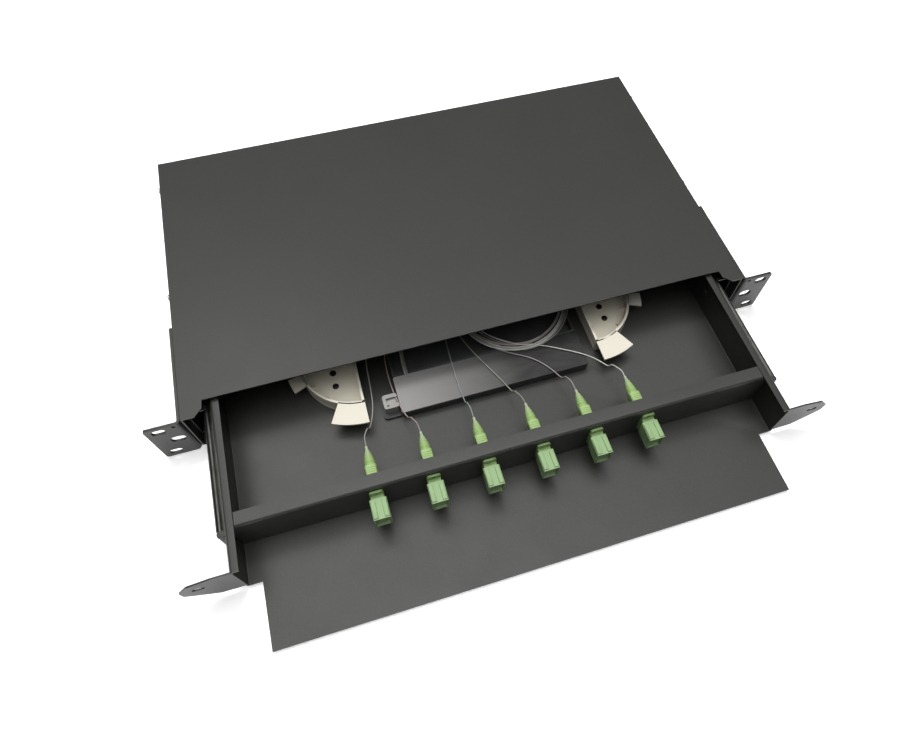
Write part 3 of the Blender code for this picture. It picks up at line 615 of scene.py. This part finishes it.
def hermite(start, start_slope, end, end_slope, steps):
    """Points after start on a curve that leaves it and reaches end in the given directions."""
    points = []
    for i in range(1, steps + 1):
        t = i / steps
        shares = (2 * t**3 - 3 * t**2 + 1, t**3 - 2 * t**2 + t, 3 * t**2 - 2 * t**3, t**3 - t**2)
        points.append(sum((v * k for v, k in zip((start, start_slope, end, end_slope), shares)), Vector()))
    return points


def fibre_line(number):
    """A pigtail's whole line: from the boot into the coil, round it, and out below to its splice."""
    across, above = (v * MM for v in LANES[number])
    way_in = [Vector(p) for p in PIGTAIL_ROUTES[number]]
    start = way_in[-1] - COIL_CENTRE
    first = np.degrees(np.arctan2(start.y, start.x)) % 360
    travel = first - COIL_EXIT + 360 * WHOLE_TURNS[number]
    steps = int((travel - COIL_ENTRY) / COIL_STEP)
    coil = []
    for i in range(steps + 1):
        left = (travel - COIL_ENTRY) * (1 - i / steps)
        coil.append(coil_place(number, radians(COIL_EXIT + left), left))
    reach = (coil[0] - way_in[-1]).length
    entry = hermite(way_in[-1], (way_in[-1] - way_in[-2]).normalized() * reach,
                    coil[0], (coil[1] - coil[0]).normalized() * reach, 5)
    tail = catmull(TAIL_ROUTE, 4)
    way_out = []
    for a, b in zip(tail[4:], tail[5:]):
        aside = (b - a).cross(Vector((0, 0, 1))).normalized()
        way_out.append(b + aside * across + Vector((0, 0, above - 0.45 * MM)))
    groove = groove_y(number)
    way_out = way_out[:-5:3]
    way_out.append(Vector((-46.5 * MM, 0.55 * groove - 2.2 * MM, 7 * MM)))
    way_out.append(Vector((-38.6 * MM, groove, 7.7 * MM)))
    return spaced(catmull([*way_in, *entry[:-1], *coil, *way_out], 8), SAMPLE)


def settle(lines, rounds):
    """Lets the coil sink on to the tray while fibres that touch push each other apart."""
    held_at_boot, held_at_splice, neighbours = 14, 12, 6
    firmness, clearance, sink = 0.35, 1.02, 0.09 * MM
    points = np.concatenate(lines)
    owner = np.concatenate([[k] * len(line) for k, line in enumerate(lines)])
    order = np.concatenate([np.arange(len(line)) for line in lines])
    last = np.array([len(line) - 1 for line in lines])[owner]
    free = ((order > held_at_boot) & (order < last - held_at_splice))[:, None]
    coiled = np.hypot(points[:, 0] - COIL_CENTRE.x, points[:, 1] - COIL_CENTRE.y) > COIL_MIDDLE - 14 * MM
    sinks = free[:, 0] & coiled & (points[:, 2] > COIL_FLOOR)
    for _ in range(rounds):
        tree = KDTree(len(points))
        for i, point in enumerate(points):
            tree.insert(point, i)
        tree.balance()
        push = np.zeros_like(points)
        for i in np.nonzero(free[:, 0])[0]:
            for other, j, far in tree.find_range(points[i], FIBRE):
                if owner[i] == owner[j] and abs(order[i] - order[j]) < neighbours:
                    continue
                away = (points[i] - np.array(other)) / max(far, 1e-6)
                push[i] += away * (clearance * FIBRE - far) * firmness
        points = points + push * free
        points[sinks, 2] -= sink
        points[sinks, 2] = np.maximum(points[sinks, 2], COIL_FLOOR)
        smooth = points.copy()
        smooth[1:-1] = 0.25 * points[:-2] + 0.5 * points[1:-1] + 0.25 * points[2:]
        points = np.where(free, 0.4 * points + 0.6 * smooth, points)
    return [points[owner == k] for k in range(len(lines))]


def cord_curve(name, line, diameter, material):
    curve = bpy.data.curves.new(name, "CURVE")
    curve.dimensions = "3D"
    curve.bevel_depth = diameter / 2
    curve.bevel_resolution = 2
    curve.use_fill_caps = True
    spline = curve.splines.new("POLY")
    spline.points.add(len(line) - 1)
    for point, place in zip(spline.points, line):
        point.co = (*at(*place), 1)
    curve.materials.append(material)
    cord = bpy.data.objects.new(name, curve)
    show(cord)
    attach(cord, "drawer")
    return cord


def make_fibres():
    """The six fibres, as cords with their lengths, by number."""
    lines = settle([fibre_line(number) for number in PORTS], 90)
    cords = {}
    for number, line in zip(PORTS, lines):
        line = spaced(catmull(line[::2], 3), 2 * MM)
        cord = cord_curve(f"fibre_{number}", line, FIBRE, fibre_tints[number])
        shared = ("fibre_coil", "splice_tail") if number == 1 else ()
        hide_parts(f"pigtail_{number}", *shared)
        cords[number] = (cord, float(np.linalg.norm(np.diff(line, axis=0), axis=1).sum()))
    return cords


fibres = make_fibres()


# Connectors. Each is drawn about the middle of its port, with Y as in the rack.

PANEL_FRONT = -83.5 * MM
COUPLER_MOUTH = -98.5 * MM
COUPLER_BACK = -71.1 * MM
BARREL_SEAT = -86.4 * MM
CAP_FRONT = -102.5 * MM
CAP_RIM = -88 * MM
GRIP_BACK = -62 * MM


def port_place(number):
    return ((number - 3.5) * PORT_PITCH, 0, PORT_HEIGHT)


def port_block(half, front, back, radius):
    """A block round a port's middle, from half its width and height, its long edges rounded."""
    return block((-half[0], front, -half[1]), (half[0], back, half[1]), radius, "Y")


def coupler_mesh():
    """A coupler: a square tube with a two-hole flange, key slots, side slots and sunk panels."""
    x, z = mm(4.65, 6.4)
    port = mm(3.8, 4.6)
    key, key_length, slot_half, slot_depth, panel_depth = mm(1.1, 3.4, 0.8, 0.3, 0.25)
    adds = [
        port_block((x, z), COUPLER_MOUTH, COUPLER_BACK, 0.5 * MM),
        port_block(mm(4.8, 11), PANEL_FRONT - 1.8 * MM, PANEL_FRONT - 0.3 * MM, 1.6 * MM),
    ]
    cuts = [
        port_block(port, COUPLER_MOUTH - PAST, -86.5 * MM, 0.3 * MM),
        port_block(port, -83 * MM, COUPLER_BACK + PAST, 0.3 * MM),
    ]
    for mouth, inwards in ((COUPLER_MOUTH, 1), (COUPLER_BACK, -1)):
        cuts.append(block((2 * MM, mouth - inwards * PAST, -key),
                          (6 * MM, mouth + inwards * key_length, key)))
    for side in (-1, 1):
        cuts.append(rod("Y", (0, side * 8.9 * MM), 1.1 * MM, -87 * MM, -82 * MM))
        slot = side * 1.6 * MM
        for end in (-1, 1):
            cuts.append(block((end * (x - slot_depth), -82 * MM, slot - slot_half),
                              (end * (x + PAST), -75.5 * MM, slot + slot_half)))
        cuts.append(block((-3.2 * MM, -82.4 * MM, side * (z - panel_depth)),
                          (3.2 * MM, -73 * MM, side * (z + PAST))))
    return solid(adds, cuts)


def barrel_mesh():
    """What guides the plugs: a barrel in each port and, in the front one, a pair of hooks."""
    bore, outside = mm(1.35, 2.3)
    parts = []
    for front, back in ((-95 * MM, BARREL_SEAT), (-83.1 * MM, -79.5 * MM)):
        parts.append(tube(bore, outside, front, back, 24))
    tip, catch_back, half_width = mm(-94.5, -93.3, 1.3)
    for side in (-1, 1):
        arm = side * 3.5 * MM
        catch = arm - side * 0.9 * MM
        parts.append(block((-half_width, tip, arm - 0.4 * MM), (half_width, BARREL_SEAT, arm + 0.4 * MM)))
        parts.append(block((-half_width, tip, catch - 0.5 * MM), (half_width, catch_back, catch + 0.5 * MM)))
    return together(*parts)


def cap_mesh():
    """A dust cap: a square cup with grip grooves, two pairs of rails and a dished face."""
    x, z = mm(5.9, 7.2)
    adds = [port_block((x, z), CAP_FRONT, CAP_RIM, 0.9 * MM)]
    cuts = [
        port_block(mm(4.95, 6.7), COUPLER_MOUTH - PAST, CAP_RIM + PAST, 0.4 * MM),
        port_block(mm(4.7, 6), CAP_FRONT - PAST, CAP_FRONT + 1.8 * MM, 0.6 * MM),
    ]
    grooves, groove_half, groove_depth = 4, 4.6 * MM, 0.35 * MM
    for side in (-1, 1):
        for i in range(grooves):
            front = CAP_FRONT + (2.4 + 1.7 * i) * MM
            cuts.append(block((side * (x - groove_depth), front, -groove_half),
                              (side * (x + PAST), front + 0.8 * MM, groove_half)))
        for edge in (-1, 1):
            adds.append(block((edge * 2.1 * MM, CAP_FRONT + 1 * MM, side * (z - 0.4 * MM)),
                              (edge * 5.4 * MM, CAP_RIM - 1.6 * MM, side * (z + 0.8 * MM)), 0.4 * MM, "Y"))
    return solid(adds, cuts)


def plug_mesh():
    """A plug's housing: nose, key and a ribbed grip."""
    grip_front = COUPLER_BACK + 0.4 * MM
    nose_back = grip_front + 1 * MM
    adds = [
        port_block(mm(3.5, 4.3), -82.7 * MM, nose_back, 0.5 * MM),
        port_block(mm(4.2, 4.9), grip_front, GRIP_BACK, 2.2 * MM),
        block((3 * MM, -74 * MM, -0.9 * MM), (4.5 * MM, nose_back, 0.9 * MM)),
    ]
    cuts = []
    grooves, groove_width = 4, 0.7 * MM
    for i in range(grooves):
        front = grip_front + (1.2 + 1.6 * i) * MM
        back = front + groove_width
        for side in (-1, 1):
            cuts.append(block((side * 3.95 * MM, front, -3.8 * MM), (side * 5 * MM, back, 3.8 * MM)))
            cuts.append(block((-3.2 * MM, front, side * 4.6 * MM), (3.2 * MM, back, side * 6 * MM)))
    return solid(adds, cuts)


def boot_mesh():
    """A bend relief: a collar, a tapered sleeve ringed with flexing grooves, and a plain tip."""
    collar = 4 * MM
    profile = [(0, GRIP_BACK - 1.5 * MM), (collar, GRIP_BACK - 1.5 * MM), (collar, GRIP_BACK + 0.6 * MM)]
    first, last = GRIP_BACK + 1.4 * MM, BOOT_TIP - 3 * MM
    rings = 6
    for i in range(rings):
        share = i / (rings - 1)
        y = first + (last - first) * share
        wide = (4.1 - 2.7 * share**1.6) * MM
        profile += [(wide, y - 0.6 * MM), (wide - 0.15 * MM, y + 0.7 * MM)]
        profile += [(wide - 0.45 * MM, y + 0.85 * MM), (wide - 0.5 * MM, y + 1.2 * MM)]
    profile += [(1.15 * MM, last + 2 * MM), (1.1 * MM, BOOT_TIP - 0.2 * MM)]
    profile += [(0.9 * MM, BOOT_TIP), (0, BOOT_TIP)]
    return together(turned(profile, segments=32))


def screw_mesh(radius, head, shank=0.0, thread=0.0):
    """A pan-head cross screw pointing along +Y: its head lies in front of y = 0 and its shank behind."""
    crown = [(0, -head), (0.55 * radius, -head), (0.85 * radius, -0.8 * head), (radius, -0.45 * head)]
    crown += [(radius, 0), (0, 0)]
    deep, wide, long = -0.35 * head, 0.16 * radius, 0.58 * radius
    cross = [block((-wide, -2 * head, -long), (wide, deep, long)),
             block((-long, -2 * head, -wide), (long, deep, wide))]
    mesh = solid([turned(crown, segments=32)], cross)
    if not shank:
        return mesh
    profile = [(0, -0.1 * head), (thread, -0.1 * head)]
    pitch = 0.7 * MM
    for i in range(int(shank / pitch)):
        profile += [(thread, (i + 0.1) * pitch), (0.8 * thread, (i + 0.6) * pitch)]
    profile.append((0, shank))
    bm = turned(profile, segments=20)
    bm.from_mesh(mesh)
    return together(bm)


def make_connectors():
    coupler, barrel = coupler_mesh(), barrel_mesh()
    sleeve = together(tube(*mm(0.95, 1.3, -94.6, -80), 24))
    cap, plug, boot = cap_mesh(), plug_mesh(), boot_mesh()
    for number in PORTS:
        place = port_place(number)
        piece(f"coupler_{number}", coupler, coupler_green, place, 0.16 * MM,
              [f"adapter_{number}"])
        piece(f"coupler_barrel_{number}", barrel, coupler_green, place)
        piece(f"coupler_sleeve_{number}", sleeve, ceramic, place)
        piece(f"dust_cap_shell_{number}", cap, cap_green, place, 0.22 * MM, [f"cap_{number}"],
              f"dust_cap_{number}")
        housing = piece(f"plug_housing_{number}", plug, boot_green, place, 0.2 * MM,
                        [f"plug_{number}"])
        relief = piece(f"plug_boot_{number}", boot, boot_soft, place, 0.1 * MM)


make_connectors()


# Sheet metal and slides.

RAIL_MIDDLE = 20.5 * MM
RAIL_SHEET = 1.1 * MM
# The upper half of a rail's section, in millimetres across the rack and above the rail's middle.
RACE = [(203.2, 12.2), (202.6, 11.5), (201.8, 11), (200.9, 10.8), (200, 11), (199.2, 11.5), (198.3, 11.6),
        (197.7, 11.3), (197.4, 10.6)]


def named(*starts):
    """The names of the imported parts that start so."""
    return [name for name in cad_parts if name.startswith(starts)]


dress(named("case_body", "top_cover", "rack_ear", "drawer_tray", "adapter_panel"),
      black, 0.3 * MM, black_edge)
dress(named("slide_outer"), zinc, 0.2 * MM)
dress(named("ball_cage"), ball_steel, 0.1 * MM)
dress(named("splice_comb"), comb_rubber, 0.2 * MM)


def rail_mesh(side, front, back):
    """A drawer's rail: a slotted web, and flanges pressed into races for the balls."""
    path = [(x * MM, RAIL_MIDDLE + z * MM) for x, z in RACE]
    path += [(x * MM, RAIL_MIDDLE - z * MM) for x, z in reversed(RACE)]
    outline = [(side * x, z) for x, z in strip(path, RAIL_SHEET)]
    corner = [(side * x * MM, front + y * MM) for x, y in ((198.5, -1), (205, -1), (205, 5.5))]
    cuts = [prism(corner, 0, 44 * MM)]
    slot_pitch, slot_length, slot_width = mm(32, 8, 4.4)
    for y in np.arange(front + 22 * MM, back - 10 * MM, slot_pitch):
        slot = rectangle((y - slot_length / 2, RAIL_MIDDLE - slot_width / 2),
                         (y + slot_length / 2, RAIL_MIDDLE + slot_width / 2), 2.1 * MM)
        cuts.append(prism(slot, side * 196 * MM, side * 198.4 * MM, "X"))
    return solid([prism(outline, front, back, "Y")], cuts)


def bumper_mesh(side, front):
    """The soft stop on a rail's front end, hollow where it goes round the web."""
    inner, outer = side * 196.8 * MM, side * 203.4 * MM
    half, hollow = mm(12.6, 9)
    ends = rectangle((inner, front - 0.4 * MM), (outer, front + 4 * MM), 1.6 * MM)
    cut = block((inner - side * PAST, front + 1 * MM, RAIL_MIDDLE - hollow),
                (outer + side * PAST, front + 9 * MM, RAIL_MIDDLE + hollow))
    return solid([prism(ends, RAIL_MIDDLE - half, RAIL_MIDDLE + half)], [cut])


def make_inner_slides():
    for name, side in SIDES:
        front, back = along_y(f"slide_inner_{name}")
        piece(f"inner_rail_{name}", rail_mesh(side, front, back), zinc, edge=0.15 * MM,
              replaces=[f"slide_inner_{name}"])
        piece(f"rail_bumper_{name}", bumper_mesh(side, front), nylon, edge=0.4 * MM)


make_inner_slides()


def make_case_screws():
    # Kind, the head's radius and height, the shank's length and the thread's radius.
    kinds = (
        ("ear", *mm(3.8, 2.2, 3, 2)),
        ("cover", *mm(2.85, 1.65, 3, 1.5)),
    )
    for kind, head, height, shank, thread in kinds:
        mesh = screw_mesh(head, height, shank, thread)
        for name, side in SIDES:
            for end in ("front", "rear"):
                node = f"{kind}_screw_{name}_{end}"
                low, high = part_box(node)
                seat = (high.x if side > 0 else low.x) - side * height
                obj = piece(f"{node}_fine", mesh, bolt_steel, edge=0.12 * MM,
                            replaces=[node], body="case")
                # The name's length sets the angle of the cross, so that the screws differ.
                turn = Euler((0, radians(17 * len(node) % 90), radians(90 * side))).to_matrix().to_4x4()
                place = Vector((seat, (low.y + high.y) / 2, (low.z + high.z) / 2))
                obj.matrix_world = Matrix.Translation(place) @ turn


make_case_screws()


# Glands. Each is drawn about its own axis, with Y as in the rack.

WALL_OUTSIDE = 254.3 * MM
GLAND_BORE = 4.2 * MM
GLAND_HEXAGON = 21 * MM
SEAL_BORE = 2.8 * MM


def gland_mesh(inner, collar_end):
    """A gland's body: a threaded shank through the wall, a hexagon and a collar for the dome."""
    root, crest, pitch, half_tooth = mm(7.2, 7.9, 1.5, 0.5)
    shank_end, shoulder = WALL_OUTSIDE + 1 * MM, WALL_OUTSIDE + 5.2 * MM
    thread = [(GLAND_BORE, inner), (root, inner)]
    for i in range(int((WALL_OUTSIDE - inner) / pitch)):
        y = inner + (i + 0.5) * pitch
        thread += [(root, y - half_tooth), (crest, y), (root, y + half_tooth)]
    thread += [(root, shank_end), (GLAND_BORE, shank_end)]
    flange = solid([prism(hexagon(GLAND_HEXAGON), WALL_OUTSIDE, shoulder, "Y")],
                   [rod("Y", (0, 0), GLAND_BORE, WALL_OUTSIDE - PAST, shoulder + PAST)])
    body = bmesh.new()
    body.from_mesh(flange)
    collar = tube(GLAND_BORE, 6.6 * MM, WALL_OUTSIDE + 0.5 * MM, collar_end, 48)
    return together(body, turned(thread, segments=48), collar)


def dome_mesh(start, end):
    """The dome nut that squeezes the seal, with grip ribs round it."""
    inside, outside, thread_end = 6.9 * MM, 8.2 * MM, start + 9 * MM
    profile = [(inside, start), (inside, thread_end), (GLAND_BORE, thread_end), (GLAND_BORE, end)]
    profile += [(5.6 * MM, end), (7 * MM, end - 0.7 * MM), (7.9 * MM, end - 2.4 * MM)]
    profile += [(outside, end - 5 * MM), (outside, start)]
    parts = [turned(profile, segments=60)]
    ribs, rib_circle, rib_radius = 24, 8.1 * MM, 0.5 * MM
    for i in range(ribs):
        angle = 2 * pi * i / ribs
        foot = (rib_circle * cos(angle), rib_circle * sin(angle))
        parts.append(rod("Y", foot, rib_radius, start + 0.6 * MM, end - 6.5 * MM, 10))
    return together(*parts)


def seal_mesh(end):
    """The rubber ring in the dome's mouth, its outer edge chamfered."""
    start, rim, outside = end - 6 * MM, end - 1.2 * MM, 4.15 * MM
    return turned([(SEAL_BORE, start), (outside, start), (outside, rim), (3.5 * MM, end - 0.6 * MM),
                   (SEAL_BORE, rim)])


def make_glands():
    for name, _ in SIDES:
        low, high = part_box(f"gland_body_{name}")
        centre = ((low.x + high.x) / 2, 0, (low.z + high.z) / 2)
        start, end = along_y(f"gland_cap_{name}")
        nut_start, nut_end = along_y(f"gland_locknut_{name}")
        nut = solid([prism(hexagon(GLAND_HEXAGON), nut_start, nut_end, "Y")],
                    [rod("Y", (0, 0), 8.2 * MM, nut_start - PAST, nut_end + PAST, 40)])
        body = gland_mesh(*along_y(f"gland_body_{name}"))
        rows = (
            ("gland", body, nylon, 0.4 * MM, [f"gland_body_{name}"]),
            ("gland_dome", dome_mesh(start, end), nylon, 0.15 * MM, [f"gland_cap_{name}"]),
            ("gland_seal", seal_mesh(end), seal_rubber, 0.2 * MM, []),
            ("gland_nut", nut, nylon, 0.5 * MM, [f"gland_locknut_{name}"]),
        )
        for kind, mesh, material, edge, nodes in rows:
            piece(f"{kind}_{name}", mesh, material, centre, edge, nodes, "case")


make_glands()


# Fibre guides. Each is drawn about its inner corner.

DRAWER_FLOOR = 3.3 * MM
GUIDE_X = 93 * MM
GUIDE_Y = {"front": 35 * MM, "rear": 52 * MM}
GUIDE_RADIUS = 42.5 * MM
GUIDE_WALL = 1.8 * MM
GUIDE_BASE = DRAWER_FLOOR + 1.7 * MM
GUIDE_HOLE_X = 19.1 * MM
GUIDE_HOLE_YS = mm(5, 17)


def ring(inner, outer, start, end, steps):
    """A part of a flat ring, between two angles in degrees."""
    return arc((0, 0), outer, start, end, steps) + arc((0, 0), inner, end, start, steps)


def guide_mesh(side, along):
    """A quarter-round bend guide with a wall, two tabs and ribs; side and along are where it bulges to."""
    low, top, wall, radius = DRAWER_FLOOR, DRAWER_FLOOR + 13.4 * MM, GUIDE_WALL, GUIDE_RADIUS
    tab_low, tab_root = top - 1.5 * MM, radius - wall / 2
    shapes = [
        ([(0, 0), *arc((0, 0), radius, 0, 90, 40)], low, GUIDE_BASE),
        (ring(radius - wall, radius, 0, 90, 40), low, top),
        (rectangle((0, 0), (wall, radius - 0.4 * wall)), low, top),
        (ring(tab_root, 59.5 * MM, 63, 90, 14), tab_low, top),
        (ring(tab_root, 52.5 * MM, 9, 23, 8), tab_low, top),
    ]
    for turn in (20, 45, 70):
        outwards = Vector((cos(radians(turn)), sin(radians(turn))))
        aside = Vector((-outwards.y, outwards.x)) * 0.6 * MM
        root, tip = outwards * (radius - 6 * MM), outwards * tab_root
        rib = [root - aside, tip - aside, tip + aside, root + aside]
        shapes.append(([tuple(p) for p in rib], low, GUIDE_BASE + 3 * MM))
    adds = [prism([(side * x, along * y) for x, y in outline], z0, z1) for outline, z0, z1 in shapes]
    cuts = [rod("Z", (side * GUIDE_HOLE_X, along * y), 1.8 * MM, low - PAST, GUIDE_BASE + PAST)
            for y in GUIDE_HOLE_YS]
    return solid(adds, cuts)


def make_guides():
    screw = screw_mesh(2.5 * MM, 1.4 * MM)
    for name, side in SIDES:
        for end, along in (("front", -1), ("rear", 1)):
            corner = (side * GUIDE_X, GUIDE_Y[end], 0)
            piece(f"bend_guide_{end}_{name}", guide_mesh(side, along), cream, corner,
                  0.35 * MM, [f"fibre_guide_{end}_{name}"])
            for k, y in enumerate(GUIDE_HOLE_YS):
                spot = (corner[0] + side * GUIDE_HOLE_X, corner[1] + along * y, GUIDE_BASE)
                obj = piece(f"guide_screw_{end}_{name}_{k + 1}", screw, black_screw, spot,
                            0.1 * MM)
                head_up = Euler((radians(-90), 0, radians(25))).to_matrix().to_4x4()
                obj.matrix_world = obj.matrix_world @ head_up


make_guides()


# Splice tray.

TRAY_LEFT = -68.5 * MM
TRAY_RIGHT = 82 * MM
TRAY_FRONT = -22 * MM
TRAY_RIB = 9.6 * MM
TRAY_BACK = 78 * MM
TRAY_WALL = 1.8 * MM
TRAY_TOP = 12 * MM
TRAY_OVER = TRAY_TOP + 2 * PAST
STRIP_TOP = 10 * MM


def tray_mesh():
    """A tray with a well for spare fibre, a low strip for the splices and a foot for the latch."""
    left, right = TRAY_LEFT + TRAY_WALL, TRAY_RIGHT - TRAY_WALL
    floor, doorway = DRAWER_FLOOR + 1.5 * MM, 2 * TRAY_WALL
    outline = rectangle((TRAY_LEFT, TRAY_FRONT), (TRAY_RIGHT, TRAY_BACK), 3 * MM)
    foot = rectangle((TRAY_LEFT - 13.5 * MM, TRAY_FRONT + 1.5 * MM),
                     (TRAY_LEFT + 4 * MM, TRAY_FRONT + 21 * MM), 2.5 * MM)
    well = rectangle((left, TRAY_RIB + TRAY_WALL), (right, TRAY_BACK - TRAY_WALL), 2 * MM)
    channel = rectangle((left, TRAY_FRONT + TRAY_WALL), (right, TRAY_RIB - TRAY_WALL), 1.2 * MM)
    cuts = [
        block((TRAY_LEFT - 2 * PAST, TRAY_FRONT - 2 * PAST, STRIP_TOP),
              (TRAY_RIGHT + 2 * PAST, TRAY_RIB, TRAY_OVER)),
        prism(well, floor, TRAY_OVER),
        prism(channel, floor, TRAY_TOP),
        block((-60 * MM, TRAY_RIB - doorway, floor), (-54 * MM, TRAY_RIB + doorway, TRAY_OVER)),
    ]
    foot_top = DRAWER_FLOOR + 2 * MM
    return solid([prism(outline, DRAWER_FLOOR, TRAY_TOP), prism(foot, DRAWER_FLOOR, foot_top)], cuts)


def tabs_mesh():
    """The tabs that reach over the well from its walls, to keep the fibres down."""
    deep, round_ends = mm(5, 1.2)
    outlines = []
    for x in mm(-48, -16, 16, 48):
        outlines.append(rectangle((x - 4 * MM, TRAY_BACK - TRAY_WALL - deep),
                                  (x + 4 * MM, TRAY_BACK - TRAY_WALL / 2), round_ends))
    for x, reach in ((TRAY_LEFT + TRAY_WALL, deep), (TRAY_RIGHT - TRAY_WALL, -deep)):
        outlines.append(rectangle((x - 0.1 * reach, 40 * MM), (x + reach, 48 * MM), round_ends))
    return together(*[prism(outline, TRAY_TOP - 1.2 * MM, TRAY_TOP) for outline in outlines])


def lid_mesh():
    """The press-on lid over the splices, slightly dished inside its rim."""
    low, back, rim = STRIP_TOP + 0.3 * MM, TRAY_RIB - 0.3 * MM, 2.2 * MM
    plate = rectangle((TRAY_LEFT, TRAY_FRONT), (TRAY_RIGHT, back), 1.5 * MM)
    dish = rectangle((TRAY_LEFT + rim, TRAY_FRONT + rim), (TRAY_RIGHT - rim, back - rim), 1.2 * MM)
    return solid([prism(plate, low, TRAY_TOP)], [prism(dish, TRAY_TOP - 0.25 * MM, TRAY_OVER)])


def latch_mesh():
    """The pale latch at the lid's left end, with an open slot and a small hole."""
    low, high = (corner - Vector((0, RACK_PLANE, 0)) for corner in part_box("splice_clip"))
    body = prism(rectangle((low.x, low.y), (high.x, high.y), 2 * MM), low.z, high.z)
    margin = 3.2 * MM
    slot = block((low.x + 2.5 * MM, low.y + margin, high.z - 2.2 * MM),
                 (high.x + PAST, high.y - margin, high.z + PAST))
    hole = rod("Z", (low.x + margin, low.y + 2.4 * MM), 0.8 * MM, high.z - 1.5 * MM, high.z + PAST, 16)
    return solid([body], [slot, hole])


def make_splice_tray():
    piece("splice_tray_shell", tray_mesh(), tray_black, edge=0.3 * MM,
          replaces=["splice_tray"])
    piece("splice_tray_tabs", tabs_mesh(), tray_black, edge=0.25 * MM)
    piece("splice_lid", lid_mesh(), lid_grey, edge=0.25 * MM, replaces=["splice_cover"])
    piece("splice_latch", latch_mesh(), clip_white, edge=0.4 * MM, replaces=["splice_clip"])


def make_splices():
    """Each splice's clear sleeve and the steel pin in it, in its own groove of the comb."""
    profile = [(0, -29), (1.15, -29), (1.4, -28), (1.4, 28), (1.15, 29), (0, 29)]
    sleeve = together(turned([mm(*point) for point in profile], "X", (0, 0), 20))
    pin = together(rod("X", (0.55 * MM, 0), 0.45 * MM, -27 * MM, 27 * MM, 16))
    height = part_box("splice_comb")[0].z + 2.7 * MM
    for number in PORTS:
        spot = (-8 * MM, groove_y(number), height)
        piece(f"splice_sleeve_{number}", sleeve, sleeve_clear, spot)
        piece(f"splice_pin_{number}", pin, bolt_steel, spot)


make_splice_tray()
make_splices()


def make_rivets():
    """The slides' flat rivet heads, outside the case and inside the drawer."""
    flat = [(0, -0.9), (1.6, -0.9), (2.6, -0.55), (3.1, 0), (0, 0)]
    mesh = together(turned([mm(*point) for point in flat], segments=32))
    # Body, the wall's distance from the middle, the turn that faces the heads away, and their places in Y.
    rows = (
        ("case", 216 * MM, 90, mm(90, 150, 195)),
        ("drawer", 195.3 * MM, -90, mm(-65, 10, 95)),
    )
    for name, side in SIDES:
        for body, x, turn, places in rows:
            facing = Euler((0, 0, radians(turn * side))).to_matrix().to_4x4()
            for k, y in enumerate(places):
                obj = piece(f"{body}_rivet_{name}_{k + 1}", mesh, black, edge=0.1 * MM,
                            body=body)
                obj.matrix_world = Matrix.Translation(at(side * x, y, RAIL_MIDDLE)) @ facing


make_rivets()
